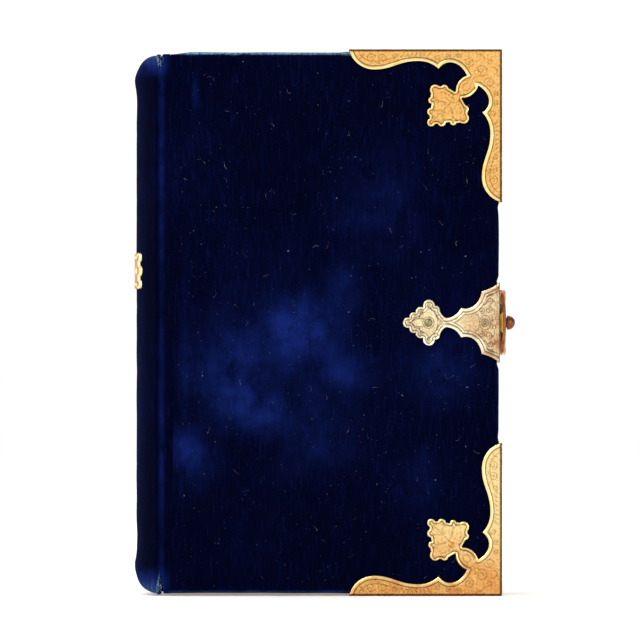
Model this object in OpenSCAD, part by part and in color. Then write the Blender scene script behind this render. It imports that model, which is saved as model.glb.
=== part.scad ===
// A small velvet-bound prayer book with metal corners and a snap clasp.
// It stands on its tail: X runs from spine to fore-edge, -Y is the front cover, +Z is the head.

/* [Boards and velvet] */
// Height of the bare boards, tail to head
board_h = 137.4; // [110:0.1:165]
// Width of the bare boards, joint to fore-edge
board_w = 82.9; // [72:0.1:100]
// Thickness of each board
board_t = 2.4; // [1.8:0.1:3.2]
// Thickness of the velvet on the faces and edges
velvet_t = 0.7; // [0.5:0.1:0.9]
// Thickness of the velvet where it is turned in and pasted down
turn_t = 0.4; // [0.3:0.1:0.6]
// Width of the turned-in velvet
turn_w = 12; // [8:1:16]
// Thickness of the pasted-down endpaper
paper_t = 0.3; // [0.2:0.1:0.4]
// How far the boards stand beyond the endpaper on each side
paper_margin = 3.2; // [2.6:0.1:4]

/* [Spine] */
// How far the rounded spine stands out beyond the joint
spine_out = 6.1; // [5:0.1:8]
// Radius of the hollow in each joint
joint_r = 1.2; // [1:0.1:1.6]
// How far the spine's shoulders lie below the cover's face
shoulder_drop = 0.6; // [0.4:0.1:1]
// Thickness of the card that stiffens the spine
liner_t = 1.0; // [0.8:0.1:1.4]
// Height and width cut off the spine's four rounded corners
cap_h = 6.4; // [4:0.1:8]
cap_w = 4.3; // [3:0.1:4.8]

/* [Text block] */
// Thickness of the text block
block_t = 21; // [16:0.5:28]
// How far the covers stand beyond the leaves
square = 2.8; // [2.5:0.1:4]
// Thickness of the free endpapers
flyleaf_t = 0.2; // [0.1:0.05:0.3]
// Thicknesses of the four bundles of leaves that turn with the front cover, from the front
bundle_t = [1.8, 2.4, 3.0, 3.4]; // [1:0.1:4]
// Number of sewn gatherings behind them
gathering_count = 6; // [4:1:8]
// Diameter of the head and tail bands
band_d = 1.8; // [1.4:0.1:2.2]

/* [Metal mounts] */
// Thickness of the sheet brass
sheet_t = 0.6; // [0.4:0.1:0.8]
// Length of each arm of a corner
arm_l = 39.2; // [34:0.2:44]
// Width of the lip that each corner folds inside the cover
lip_w = 2.2; // [1.8:0.1:2.4]
// Half the width of a clasp plate at the fore-edge
plate_half = 10.3; // [9:0.1:12]
// Thickness of the velvet left pressed flat under the clasp plates' edges
pressed_t = 0.1; // [0.05:0.05:0.3]
// Radius of the small nails
nail_r = 0.45; // [0.35:0.05:0.6]
// How far the heads of the front nails stand up
nail_rise = 0.35; // [0.2:0.05:0.5]
// Radius of the rivets in the clasp plates
rivet_r = 0.6; // [0.5:0.05:0.8]
// How far the head of the front rivet stands up
rivet_rise = 0.6; // [0.3:0.1:0.9]

/* [Clasp] */
// Outer radius of the hinge knuckles
knuckle_r = 1.0; // [1:0.1:1.5]
// Radius of the hinge pin
pin_r = 0.5; // [0.4:0.05:0.6]
// Half the width of the hasp
hasp_half = 7.9; // [7:0.1:9]
// Thickness of the hasp
hasp_t = 0.7; // [0.5:0.1:0.9]
// Radius of the thumb knob
knob_r = 1.85; // [1.4:0.05:2.2]

/* [Spine plaque] */
// Height of the plaque on the spine
plaque_h = 9.3; // [7:0.1:14]
// Width of the plaque across the spine
plaque_w = 16.6; // [12:0.1:18]
// How far the plaque's middle is above the middle of the book
plaque_up = 13.3; // [0:0.1:40]

/* [Hidden] */
$fn = 48;
function numbered(name, count) = [for (i = [1 : count]) str(name, i)];

tiny = 0.01;            // overlap that keeps a cut clean
nail_fit = 0.02;        // clearance round a nail or rivet
glue_gap = 0.02;        // line of glue between curved layers, and between gatherings
page_gap = 0.15;        // gap between the covers and the leaves
leaf_gap = 0.1;         // gap between neighbouring turning leaves
joint_gap = 0.3;        // gap between the joint's hollow and the cover's edge

// Stack of layers through the thickness, outwards from the text block
cover_t = velvet_t + board_t + turn_t;
half_t = block_t / 2 + page_gap + paper_t + cover_t;

// Across the width: x = 0 is the line of both joints
joint_out = joint_r + velvet_t;
cover_x0 = joint_out + joint_gap;
board_x0 = cover_x0 + velvet_t;
cover_x1 = board_x0 + board_w + velvet_t;
plate_x = cover_x1 - velvet_t + pressed_t;
plate_out = plate_x + sheet_t;
corner_x = cover_x1 + sheet_t;

// Up the height: z = 0 is the foot of the tail corners
cover_h = board_h + 2 * velvet_t;
cover_z0 = sheet_t;
mid_z = cover_z0 + cover_h / 2;
corner_z = cover_z0 + cover_h + sheet_t;
leaf_h = cover_h - 2 * square;

// Rounded spine: one centre for every layer
shoulder_y = half_t - shoulder_drop;
spine_rise = spine_out - joint_out;
spine_r = (shoulder_y * shoulder_y + spine_rise * spine_rise) / (2 * spine_rise);
spine_cx = spine_r - spine_out;
hollow_t = 0.6;         // air between the card and the mull
mull_t = 0.5;
cap_lead = 0.4;         // how fast the cap's curve leaves the spine's end
liner_r = spine_r - velvet_t;
mull_r = liner_r - liner_t - hollow_t;
back_r = mull_r - mull_t;
back_x_top = spine_cx - sqrt(back_r * back_r - block_t * block_t / 4);
leaf_w = cover_x1 - paper_margin - back_x_top;
fold_x = 1.0;           // where the turning leaves leave the sewn folds

// Clasp
hasp_gap = 0.3;
hasp_bow = 0.6;
knuckle_clear = 0.25;   // between the knuckles and the plate they turn beside
knuckle_x = plate_out + knuckle_clear + knuckle_r;
knuckle_y = half_t - cover_t / 2;
knuckle_mid = 7.6;      // length of the hasp's own knuckle
knuckle_gap = 0.15;     // play between neighbouring knuckles
knuckle_web = 0.6;      // half the thickness of the web behind a knuckle, as a share of its radius
pin_fit = 0.05;         // clearance round the pin in the hasp's knuckle
pin_head_t = 0.5;
pin_head_rim = 0.3;
hasp_in = plate_out + hasp_gap + hasp_bow;
hasp_out = hasp_in + hasp_t;
hasp_bow_r = (hasp_half * hasp_half + hasp_bow * hasp_bow) / (2 * hasp_bow);
hasp_short = 0.5;       // how far the hasp's tip stops short of the cover's face
hasp_l = knuckle_y + half_t - hasp_short;
knob_back = 1.9;        // how far the knob is behind the cover's inner face
knob_y = -half_t + cover_t + knob_back;
knob_rise = 0.32;       // how far out the ball's centre is, as a share of its radius
knob_flat = 0.3;        // height at which the ball starts above the hasp
neck_r = 1.2;           // the collar between the ball and the hasp
neck_t = 0.4;
shank_r = 0.7;
peen_r = 1.1;           // the shank's end, spread inside the spring
peen_t = 0.2;
latch_y = -half_t + velvet_t + board_t / 2;
slot_half_t = 0.75;     // half the thickness and half the height of the latch's slot
slot_half_h = 2.9;
slot_deep = 1.3;        // how deep the slot goes behind the plate
spring_t = 0.3;
spring_gap = 0.08;      // room between the spring and the bowed hasp
spring_half = 2.5;
spring_tail = 3;        // how far the spring runs on past the knob
nib_half = 2.2;
nib_in = 0.4;           // how far the nib reaches behind the plate

// Turning leaves: y of the front of each one, and of the sewn gatherings behind them
turning_t = concat([flyleaf_t], bundle_t);
function sum_to(v, n) = n <= 0 ? 0 : v[n - 1] + sum_to(v, n - 1);
function turning_y(i) = -block_t / 2 + sum_to(turning_t, i) + i * leaf_gap;
sewn_y = turning_y(len(turning_t));
gathering_t = (block_t / 2 - flyleaf_t - leaf_gap - sewn_y) / gathering_count;

// The book's middle, so that the whole part is centred on the origin
knob_out = hasp_out + knob_r * (1 + knob_rise);
shift_x = -(knob_out - spine_out - sheet_t) / 2;
shift_y = rivet_rise / 2;

velvet_blue = [0.02, 0.03, 0.14];
gilt = [0.83, 0.62, 0.30];
pale_brass = [0.80, 0.70, 0.46];
card_grey = [0.55, 0.50, 0.42];
page_cream = [0.90, 0.85, 0.72];
edge_gold = [0.80, 0.62, 0.28];

// ---------- curves ----------

// Points of a cubic curve through its four control points, without the last
function curve(p, n = 10) = [for (i = [0 : n - 1]) let (t = i / n, s = 1 - t)
    s * s * s * p[0] + 3 * s * s * t * p[1] + 3 * s * t * t * p[2] + t * t * t * p[3]];
function swapped(pts) = [for (i = [len(pts) - 1 : -1 : 0]) [pts[i][1], pts[i][0]]];
function flipped(pts) = [for (i = [len(pts) - 1 : -1 : 0]) [pts[i][0], -pts[i][1]]];

// ---------- placing ----------

module placed() { translate([shift_x, shift_y, 0]) children(); }
// The back cover's copy of a front piece
module to_back() { mirror([0, 1, 0]) children(); }
// The tail's copy of a head piece
module to_tail() { translate([0, 0, mid_z]) mirror([0, 0, 1]) translate([0, 0, -mid_z]) children(); }
// A flat shape drawn in X and Z, given a thickness from y0 to y1
module upright(y0, y1) { translate([0, y1, 0]) rotate([90, 0, 0]) linear_extrude(y1 - y0) children(); }
// A box between two corners
module box(lo, hi) { translate(lo) cube(hi - lo); }

// ---------- fixings ----------

head_rim = 0.35;        // how far a nail's head overhangs its shank
rivet_rim = 0.5;        // how far a rivet's head overhangs its shank
// A shank of radius s going down l from z = 0, flush at the top
module shank(s, l) { translate([0, 0, -l]) cylinder(r = s, h = l); }
// The hole for a shank
module drill(s, l) { translate([0, 0, -l - nail_fit]) cylinder(r = s + nail_fit, h = l + nail_fit + tiny); }
// A shank with a domed head of radius r that rises h
module pin(s, l, r, h) {
    ball = (r * r + h * h) / (2 * h);
    intersection() {
        translate([0, 0, h - ball]) sphere(ball);
        cylinder(r = r + tiny, h = h + tiny);
    }
    shank(s, l);
}
// Points the pin's head out of the front cover at x, z
module front_pin_at(x, z) { translate([x, -half_t - sheet_t, z]) rotate([90, 0, 0]) children(); }
nail_bite = 2;          // how deep a nail goes into the board
pin_l = sheet_t + velvet_t + nail_bite;

// ---------- corner mounts ----------
// Drawn in p (in from the mount's outer side edge) and q (in from its outer top edge), alike in both

arm_belly = 5.2;
arm_waist = 3.0;
throat = [9.0, 6.7];    // where the stem of the leaf starts
arm_curve = concat(
    curve([[arm_l, 0], [arm_l - 0.6, 2.9], [arm_l - 3.2, arm_belly], [arm_l - 6.5, arm_belly]]),
    curve([[arm_l - 6.5, arm_belly], [28.2, arm_belly], [26.4, arm_waist], [21.6, arm_waist]]),
    curve([[21.6, arm_waist], [19.3, arm_waist], [17.5, 3.8], [16.3, 5.0]]),
    curve([[16.3, 5.0], [14.5, 2.4], [10.8, 2.8], throat]));
// Leaf, in u along the diagonal and v across it: [u, v, radius] of each scallop
leaf_scallops = [[17.6, 3.7, 0.95], [19.5, 5.1, 1.35], [22.0, 3.9, 0.85], [24.2, 1.9, 1.0],
    [26.1, 0, 1.0]];
leaf_core = [[16.3, 1.1], [17.0, 3.7], [18.2, 5.2], [19.6, 5.9], [21.4, 4.9], [22.7, 3.2], [24.2, 2.2],
    [25.2, 1.4], [26.6, 0]];
bud_curve = concat(
    curve([[10.6, 1.5], [11.8, 2.7], [14.6, 2.7], [15.8, 1.3]], 8),
    curve([[15.8, 1.3], [16.2, 1.0], [16.6, 1.0], [17.4, 1.4]], 4));
corner_nail_u = [8.8, 18.4];

module corner_leaf() {
    rotate([0, 0, 45]) {
        polygon(concat(leaf_core, flipped(leaf_core)));
        polygon(concat(bud_curve, flipped(bud_curve)));
        for (s = leaf_scallops, side = [-1, 1]) translate([s[0], side * s[1]]) circle(s[2]);
    }
}
module corner_face() {
    polygon(concat([[0, 0], [arm_l, 0]], arm_curve, [throat, [throat[1], throat[0]]], swapped(arm_curve),
        [[0, arm_l]]));
    corner_leaf();
}
// Turns p and q into the head corner of the front cover
module at_head_corner() { translate([corner_x, 0, corner_z]) mirror([1, 0, 0]) mirror([0, 0, 1]) children(); }
function nail_spot(u) = [corner_x - u / sqrt(2), corner_z - u / sqrt(2)];
lip_t = sheet_t / 2;
lip_short = 6;          // how far the lip stops short of each arm's end
module lip() {
    outer = sheet_t - tiny;
    inner = sheet_t + lip_w;
    end = arm_l - lip_short;
    polygon([[outer, outer], [end, outer], [end - lip_w, inner], [inner, inner],
        [inner, end - lip_w], [outer, end]]);
}
module head_corner() {
    difference() {
        at_head_corner() {
            upright(-half_t - sheet_t, -half_t) corner_face();
            upright(-half_t - tiny, -half_t + cover_t + lip_t) {
                square([sheet_t, arm_l]);
                square([arm_l, sheet_t]);
            }
            upright(-half_t + cover_t, -half_t + cover_t + lip_t) lip();
        }
        at_corner_nails() drill(nail_r, pin_l);
    }
}
module at_corner_nails() { for (u = corner_nail_u) front_pin_at(nail_spot(u)[0], nail_spot(u)[1]) children(); }
module at_cover_nails() {
    at_corner_nails() children();
    to_tail() at_corner_nails() children();
}

// ---------- clasp plates ----------
// Drawn in a (in from the plate's outer edge) and h (up from the plate's middle)

plate_curve = concat(
    curve([[0, plate_half], [1.5, plate_half - 1.4], [3.2, plate_half - 1.9], [4.6, plate_half - 2.3]], 6),
    curve([[4.6, plate_half - 2.3], [5.2, 4.6], [7.4, 3.0], [9.9, 3.75]]),
    curve([[9.9, 3.75], [10.6, 2.3], [12.0, 1.2], [13.6, 1.15]]),
    curve([[13.6, 1.15], [14.4, 1.2], [15.0, 2.0], [15.6, 3.4]], 6));
fleur_core = [[15.6, 3.4], [16.6, 4.1], [18.1, 4.9], [19.8, 3.8], [21.4, 2.6], [22.9, 1.5], [24.2, 0]];
fleur_scallops = [[16.4, 3.25, 1.05], [18.15, 4.35, 1.5], [20.3, 2.75, 1.25], [22.0, 1.45, 1.2],
    [23.5, 0, 1.3]];
rivet_in = 18.3;        // how far in the rivet is

module plate_face() {
    outline = concat(plate_curve, fleur_core);
    polygon(concat(outline, flipped(outline)));
    for (s = fleur_scallops, side = [-1, 1]) translate([s[0], side * s[1]]) circle(s[2]);
}
module clasp_plate() {
    difference() {
        union() {
            translate([plate_out, 0, mid_z]) mirror([1, 0, 0]) upright(-half_t - sheet_t, -half_t) plate_face();
            box([plate_x, -half_t - tiny, mid_z - plate_half],
                [plate_out, -half_t + cover_t, mid_z + plate_half]);
        }
        at_plate_rivet() drill(rivet_r, pin_l);
    }
}
module at_plate_rivet() { front_pin_at(plate_out - rivet_in, mid_z) children(); }
// The slot for the latch, and the pocket behind it in the velvet and board
module latch_pocket() {
    box([plate_x - slot_deep, latch_y - slot_half_t, mid_z - slot_half_h],
        [plate_out + tiny, latch_y + slot_half_t, mid_z + slot_half_h]);
}

// ---------- covers ----------

module fixing_holes() {
    at_cover_nails() drill(nail_r, pin_l);
    at_plate_rivet() drill(rivet_r, pin_l);
}
board_lo = [board_x0, -half_t + velvet_t, cover_z0 + velvet_t];
board_hi = board_lo + [board_w, board_t, board_h];
turned_in = [turn_w, 0, turn_w];
module cover_board() {
    difference() {
        box(board_lo, board_hi);
        fixing_holes();
    }
}
module cover_velvet() {
    difference() {
        box([cover_x0, -half_t, cover_z0], [cover_x1, -half_t + cover_t, cover_z0 + cover_h]);
        box(board_lo, board_hi);
        box(board_lo + turned_in, board_hi - turned_in + [0, turn_t + tiny, 0]);
        box([plate_x, -half_t - tiny, mid_z - plate_half],
            [cover_x1 + tiny, -half_t + cover_t + tiny, mid_z + plate_half]);
        fixing_holes();
    }
}
module pastedown() {
    box([cover_x0 + paper_margin, -half_t + cover_t, cover_z0 + paper_margin],
        [cover_x1 - paper_margin, -half_t + cover_t + paper_t, cover_z0 + cover_h - paper_margin]);
    box(board_lo + turned_in + [0, board_t, 0], board_hi - turned_in + [0, turn_t + tiny, 0]);
}

// ---------- spine ----------

// A band of the rounded spine between two radii, no wider than half_y each side
module spine_band(r_in, r_out, half_y, z0, z1) {
    translate([0, 0, z0]) linear_extrude(z1 - z0) intersection() {
        difference() {
            translate([spine_cx, 0]) circle(r_out, $fn = 180);
            translate([spine_cx, 0]) circle(r_in, $fn = 180);
        }
        translate([spine_cx - r_out - 1, -half_y]) square([r_out, 2 * half_y]);
    }
}
// The velvet hollow of the front joint, round the joint's own axis
module joint_hollow() {
    translate([0, -half_t, cover_z0]) linear_extrude(cover_h) difference() {
        circle(joint_out);
        circle(joint_r);
        translate([-2 * joint_out, -2 * joint_out + shoulder_drop / 2]) square([4 * joint_out, 2 * joint_out]);
    }
}
// Plan of the spine with its corners rounded off, in X and Z
spine_plan_curve = curve([[-spine_out, cap_h], [-spine_out, cap_h / 3],
    [-spine_out + cap_w / 3, cap_lead], [-spine_out + cap_w, 0]], 12);
module spine_plan() {
    head_curve = [for (p = flipped(spine_plan_curve)) p + [0, cover_h]];
    polygon(concat(spine_plan_curve, [[-spine_out + cap_w, 0], [joint_out + 1, 0], [joint_out + 1, cover_h],
        [-spine_out + cap_w, cover_h]], head_curve));
}
module velvet_spine() {
    difference() {
        intersection() {
            union() {
                spine_band(liner_r, spine_r, shoulder_y, cover_z0, cover_z0 + cover_h);
                joint_hollow();
                to_back() joint_hollow();
            }
            translate([0, 0, cover_z0]) upright(-half_t - 1, half_t + 1) spine_plan();
        }
        at_plaque_nails() drill(nail_r, plaque_pin_l);
    }
}
module card_liner() {
    difference() {
        spine_band(liner_r - liner_t, liner_r - glue_gap, block_t / 2, cover_z0 + cap_h,
            cover_z0 + cover_h - cap_h);
        at_plaque_nails() drill(nail_r, plaque_pin_l);
    }
}
mull_short = 4;         // how far the mull stops short of the leaves' head and tail
mull_half = leaf_h / 2 - mull_short;
module mull() { spine_band(back_r, mull_r, block_t / 2, mid_z - mull_half, mid_z + mull_half); }

// Three cords that lie in grooves sawn across the folds
cord_t = 1.2;
cord_places = [-0.32, 0, 0.32];     // shares of the leaves' height
cord_half = block_t / 2 - flyleaf_t - 2 * leaf_gap;
module cords(extra) {
    half = cord_t / 2 + extra;
    for (f = cord_places)
        spine_band(back_r - cord_t - extra, back_r + extra, cord_half, mid_z + f * leaf_h - half,
            mid_z + f * leaf_h + half);
}
band_in = 0.8;          // how far the end bands' cores lie inside the backs of the leaves
module end_band() {
    band_half = asin((block_t / 2 - band_d / 2) / back_r);
    translate([spine_cx, 0, mid_z + leaf_h / 2 + band_d / 2]) {
        rotate([0, 0, 180 - band_half]) rotate_extrude(angle = 2 * band_half, $fn = 180)
            translate([back_r - band_in, 0]) circle(d = band_d);
        for (side = [-1, 1]) rotate([0, 0, 180 + side * band_half]) translate([back_r - band_in, 0, 0])
            sphere(d = band_d);
    }
}

// ---------- plaque on the spine ----------

plaque_z = mid_z + plaque_up;
plaque_nail_in = 2.9;   // how far each nail is in from the plaque's end
plaque_pin_y = plaque_w / 2 - plaque_nail_in;
plaque_pin_short = 0.1; // how far the nails stop short of the card's inner face
plaque_pin_l = sheet_t + velvet_t + liner_t - plaque_pin_short;
lobe_r = 1.5;           // the lobe in the middle of each side
ear_r = 1.25;           // the ear at each corner
ear_in = 0.35;          // how far the ears are in from the side lobes
module plaque_outline() {
    square([plaque_w - 2 * lobe_r + 0.2, plaque_h - 2 * ear_r + 0.5], center = true);
    for (s = [-1, 1]) {
        for (e = [-1, 1])
            translate([s * (plaque_w / 2 - ear_r - ear_in), e * (plaque_h / 2 - ear_r)]) circle(ear_r);
        translate([s * (plaque_w / 2 - lobe_r), 0]) circle(lobe_r);
        translate([0, s * (plaque_h / 2 - lobe_r)]) circle(lobe_r);
    }
}
module plaque() {
    difference() {
        intersection() {
            spine_band(spine_r, spine_r + sheet_t, plaque_w / 2, plaque_z - plaque_h / 2,
                plaque_z + plaque_h / 2);
            translate([0, 0, plaque_z]) rotate([90, 0, -90]) linear_extrude(2 * spine_out) plaque_outline();
        }
        at_plaque_nails() drill(nail_r, plaque_pin_l);
    }
}
module at_plaque_nails() {
    turn = asin(plaque_pin_y / spine_r);
    for (s = [-1, 1]) translate([spine_cx, 0, plaque_z]) rotate([0, 0, 180 + s * turn])
        translate([spine_r + sheet_t, 0, 0]) rotate([0, 90, 0]) children();
}

// ---------- leaves ----------

// Leaves from y0 to y1, rounded at the back and hollow at the fore-edge, from x0 to x1
module leaves(y0, y1, x0, x1) {
    translate([0, 0, mid_z - leaf_h / 2]) linear_extrude(leaf_h) intersection() {
        difference() {
            union() {
                translate([spine_cx, 0]) circle(back_r, $fn = 180);
                translate([spine_cx, -block_t]) square([leaf_w, 2 * block_t]);
            }
            translate([spine_cx + leaf_w, 0]) circle(back_r, $fn = 180);
        }
        translate([x0, y0]) square([x1 - x0, y1 - y0]);
    }
}
module gathering(i) {
    difference() {
        leaves(sewn_y + i * gathering_t, sewn_y + (i + 1) * gathering_t - glue_gap, -spine_out, cover_x1);
        cords(glue_gap);
    }
}
module folds() {
    difference() {
        leaves(-block_t / 2, sewn_y - glue_gap, -spine_out, fold_x - leaf_gap);
        cords(glue_gap);
    }
}
module turning_leaves(i) { leaves(turning_y(i), turning_y(i) + turning_t[i], fold_x, cover_x1); }

// ---------- clasp ----------

knuckle_end = (hasp_half - knuckle_mid / 2 - knuckle_gap) / 2;
knuckle_end_z = hasp_half - knuckle_end;
module anchor() {
    difference() {
        union() {
            clasp_plate();
            for (s = [-1, 1]) translate([knuckle_x, -knuckle_y, mid_z + s * knuckle_end_z]) {
                cylinder(r = knuckle_r, h = 2 * knuckle_end, center = true);
                box([plate_x + tiny - knuckle_x, -knuckle_r * knuckle_web, -knuckle_end],
                    [0, knuckle_r * knuckle_web, knuckle_end]);
            }
        }
        translate([knuckle_x, -knuckle_y, mid_z]) cylinder(r = pin_r + tiny, h = 3 * hasp_half, center = true);
    }
}
module clasp_pin() {
    translate([knuckle_x, knuckle_y, mid_z]) cylinder(r = pin_r, h = 2 * hasp_half, center = true);
    for (s = [-1, 1]) translate([knuckle_x, knuckle_y, mid_z + s * (hasp_half + pin_head_t / 2)])
        cylinder(r = pin_r + pin_head_rim, h = pin_head_t, center = true);
}
hasp_waist = 4.6;       // half the hasp's width in its middle
// Hasp outline: the way from the hinge, and half its width there
hasp_curve = concat(
    [[0, knuckle_mid / 2]],
    curve([[knuckle_r + 0.5, knuckle_mid / 2], [2.6, knuckle_mid / 2 + 0.2], [2.4, hasp_half],
        [4.6, hasp_half]], 8),
    curve([[4.6, hasp_half], [8.0, hasp_half - 0.6], [8.5, hasp_waist], [hasp_l / 2, hasp_waist]]),
    curve([[hasp_l / 2, hasp_waist], [hasp_l - 9.0, hasp_waist], [hasp_l - 8.6, hasp_half - 1.2],
        [hasp_l - 6.0, hasp_half]]),
    curve([[hasp_l - 6.0, hasp_half], [hasp_l - 4.4, hasp_half + 0.1], [hasp_l - 3.6, 6.6],
        [hasp_l - 3.4, 5.4]], 6),
    curve([[hasp_l - 3.4, 5.4], [hasp_l - 1.4, 5.3], [hasp_l - 0.9, 2.4], [hasp_l, 0]], 8));
module hasp_plate() {
    difference() {
        union() {
            intersection() {
                translate([hasp_out - hasp_bow_r, knuckle_y - hasp_l - 1, mid_z])
                    rotate([-90, 0, 0]) difference() {
                    cylinder(r = hasp_bow_r, h = hasp_l + 2, $fn = 180);
                    translate([0, 0, -1]) cylinder(r = hasp_bow_r - hasp_t, h = hasp_l + 4, $fn = 180);
                }
                translate([plate_out, knuckle_y, mid_z]) rotate([0, 90, 0]) rotate([0, 0, -90])
                    linear_extrude(2 * knuckle_r) polygon(concat(hasp_curve, flipped(hasp_curve)));
            }
            translate([knuckle_x, knuckle_y, mid_z]) cylinder(r = knuckle_r, h = knuckle_mid, center = true);
        }
        translate([knuckle_x, knuckle_y, mid_z])
            cylinder(r = pin_r + pin_fit, h = 3 * hasp_half, center = true);
        knob_hole();
    }
}
module knob_axis() { translate([hasp_out, knob_y, mid_z]) rotate([0, 90, 0]) children(); }
module knob_hole() { knob_axis() cylinder(r = shank_r + nail_fit, h = 6 * hasp_t, center = true); }
module knob() {
    knob_axis() {
        cylinder(r = neck_r, h = neck_t);
        intersection() {
            translate([0, 0, knob_r * knob_rise]) sphere(knob_r);
            translate([0, 0, knob_flat]) cylinder(r = knob_r + tiny, h = 2 * knob_r);
        }
        shank(shank_r, hasp_t + spring_t);
        translate([0, 0, -hasp_t - spring_t - peen_t]) cylinder(r = peen_r, h = peen_t);
    }
}
// The springy strip riveted inside the hasp, with the nib that snaps into the catch plate
module spring() {
    difference() {
        union() {
            box([hasp_in - spring_t, latch_y - 0.9, mid_z - spring_half],
                [hasp_in - spring_gap, knob_y + spring_tail, mid_z + spring_half]);
            translate([0, 0, mid_z - nib_half]) linear_extrude(2 * nib_half) polygon([
                [hasp_in - spring_t + tiny, latch_y - 0.5], [plate_x - nib_in, latch_y - 0.15],
                [plate_x - nib_in, latch_y + 0.1], [hasp_in - spring_t + tiny, latch_y + 0.55]]);
        }
        knob_hole();
    }
}

// ---------- the named pieces ----------

module back_board() { color(card_grey) placed() to_back() cover_board(); }
module back_velvet() { color(velvet_blue) placed() to_back() cover_velvet(); }
module back_pastedown() { color(page_cream) placed() to_back() pastedown(); }
module back_head_corner() { color(gilt) placed() to_back() head_corner(); }
module back_tail_corner() { color(gilt) placed() to_back() to_tail() head_corner(); }
module back_corner_nails() { color(gilt) placed() to_back() at_cover_nails() shank(nail_r, pin_l); }
module anchor_plate() { color(pale_brass) placed() to_back() anchor(); }
module anchor_rivet() { color(pale_brass) placed() to_back() at_plate_rivet() shank(rivet_r, pin_l); }
module hinge_pin() { color(pale_brass) placed() clasp_pin(); }
module spine_velvet() { color(velvet_blue) placed() velvet_spine(); }
module spine_liner() { color(card_grey) placed() card_liner(); }
module spine_mull() { color(page_cream) placed() mull(); }
module sewing_cords() { color(page_cream) placed() cords(0); }
module head_band() { color(page_cream) placed() end_band(); }
module tail_band() { color(page_cream) placed() to_tail() end_band(); }
module one_gathering(i) { color(edge_gold) placed() gathering(i); }
module sewn_folds() { color(edge_gold) placed() folds(); }
module back_flyleaf() {
    color(page_cream) placed() leaves(block_t / 2 - flyleaf_t, block_t / 2, fold_x, cover_x1);
}
module spine_plaque() { color(gilt) placed() plaque(); }
module plaque_nails() {
    color(gilt) placed() at_plaque_nails() pin(nail_r, plaque_pin_l, nail_r + head_rim, nail_rise);
}
module front_board() { color(card_grey) placed() difference() { cover_board(); latch_pocket(); } }
module front_velvet() { color(velvet_blue) placed() difference() { cover_velvet(); latch_pocket(); } }
module front_pastedown() { color(page_cream) placed() pastedown(); }
module front_head_corner() { color(gilt) placed() head_corner(); }
module front_tail_corner() { color(gilt) placed() to_tail() head_corner(); }
module front_corner_nails() {
    color(gilt) placed() at_cover_nails() pin(nail_r, pin_l, nail_r + head_rim, nail_rise);
}
module catch_plate() { color(pale_brass) placed() difference() { clasp_plate(); latch_pocket(); } }
module catch_rivet() {
    color(pale_brass) placed() at_plate_rivet() pin(rivet_r, pin_l, rivet_r + rivet_rim, rivet_rise);
}
module hasp() { color(gilt) placed() hasp_plate(); }
module thumb_knob() { color(gilt) placed() knob(); }
module latch_spring() { color(pale_brass) placed() spring(); }
module front_flyleaf() { color(page_cream) placed() turning_leaves(0); }
module one_leaf_group(i) { color(edge_gold) placed() turning_leaves(i); }

back_board();
back_velvet();
back_pastedown();
back_head_corner();
back_tail_corner();
back_corner_nails();
anchor_plate();
anchor_rivet();
hinge_pin();
spine_velvet();
spine_liner();
spine_mull();
sewing_cords();
head_band();
tail_band();
for (i = [0 : gathering_count - 1]) one_gathering(i);
sewn_folds();
back_flyleaf();
spine_plaque();
plaque_nails();
front_board();
front_velvet();
front_pastedown();
front_head_corner();
front_tail_corner();
front_corner_nails();
catch_plate();
catch_rivet();
hasp();
thumb_knob();
latch_spring();
front_flyleaf();
for (i = [1 : len(bundle_t)]) one_leaf_group(i);
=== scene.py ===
import math
from functools import partial

import bmesh
import bpy
import numpy as np
from bpy.props import FloatProperty, FloatVectorProperty, IntProperty, PointerProperty
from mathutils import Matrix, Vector
from mathutils.geometry import delaunay_2d_cdt


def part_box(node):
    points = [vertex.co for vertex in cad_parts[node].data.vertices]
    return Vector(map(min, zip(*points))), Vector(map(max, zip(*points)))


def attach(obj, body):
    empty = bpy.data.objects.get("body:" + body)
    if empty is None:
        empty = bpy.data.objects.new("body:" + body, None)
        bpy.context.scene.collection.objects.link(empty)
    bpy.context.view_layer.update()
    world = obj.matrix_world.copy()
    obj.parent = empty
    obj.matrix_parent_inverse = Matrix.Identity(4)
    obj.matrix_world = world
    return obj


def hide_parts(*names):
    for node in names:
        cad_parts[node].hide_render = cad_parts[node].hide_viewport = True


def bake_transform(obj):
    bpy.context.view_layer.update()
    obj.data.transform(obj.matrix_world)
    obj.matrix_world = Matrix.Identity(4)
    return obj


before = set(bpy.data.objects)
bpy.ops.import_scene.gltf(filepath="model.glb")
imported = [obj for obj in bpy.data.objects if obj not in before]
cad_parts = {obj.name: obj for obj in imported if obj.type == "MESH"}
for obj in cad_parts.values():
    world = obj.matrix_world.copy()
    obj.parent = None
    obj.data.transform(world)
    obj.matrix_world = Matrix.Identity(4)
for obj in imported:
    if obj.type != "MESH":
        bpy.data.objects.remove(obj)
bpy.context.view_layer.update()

bl_info = {
    "name": "Velvet Prayer Book",
    "version": (1, 0, 0),
    "blender": (4, 5, 0),
    "location": "3D View > Sidebar > Prayer Book",
    "description": "Dresses the prayer book's frame in velvet, engraved brass and gilt-edged leaves",
    "category": "Object",
}

# ---------------------------------------------------------------- sizes, in millimetres

MM = 0.001


def corners(node):
    """Lowest and highest corner of a node of the frame, in millimetres."""
    lo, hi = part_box(node)
    return np.array(lo) / MM, np.array(hi) / MM


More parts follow.
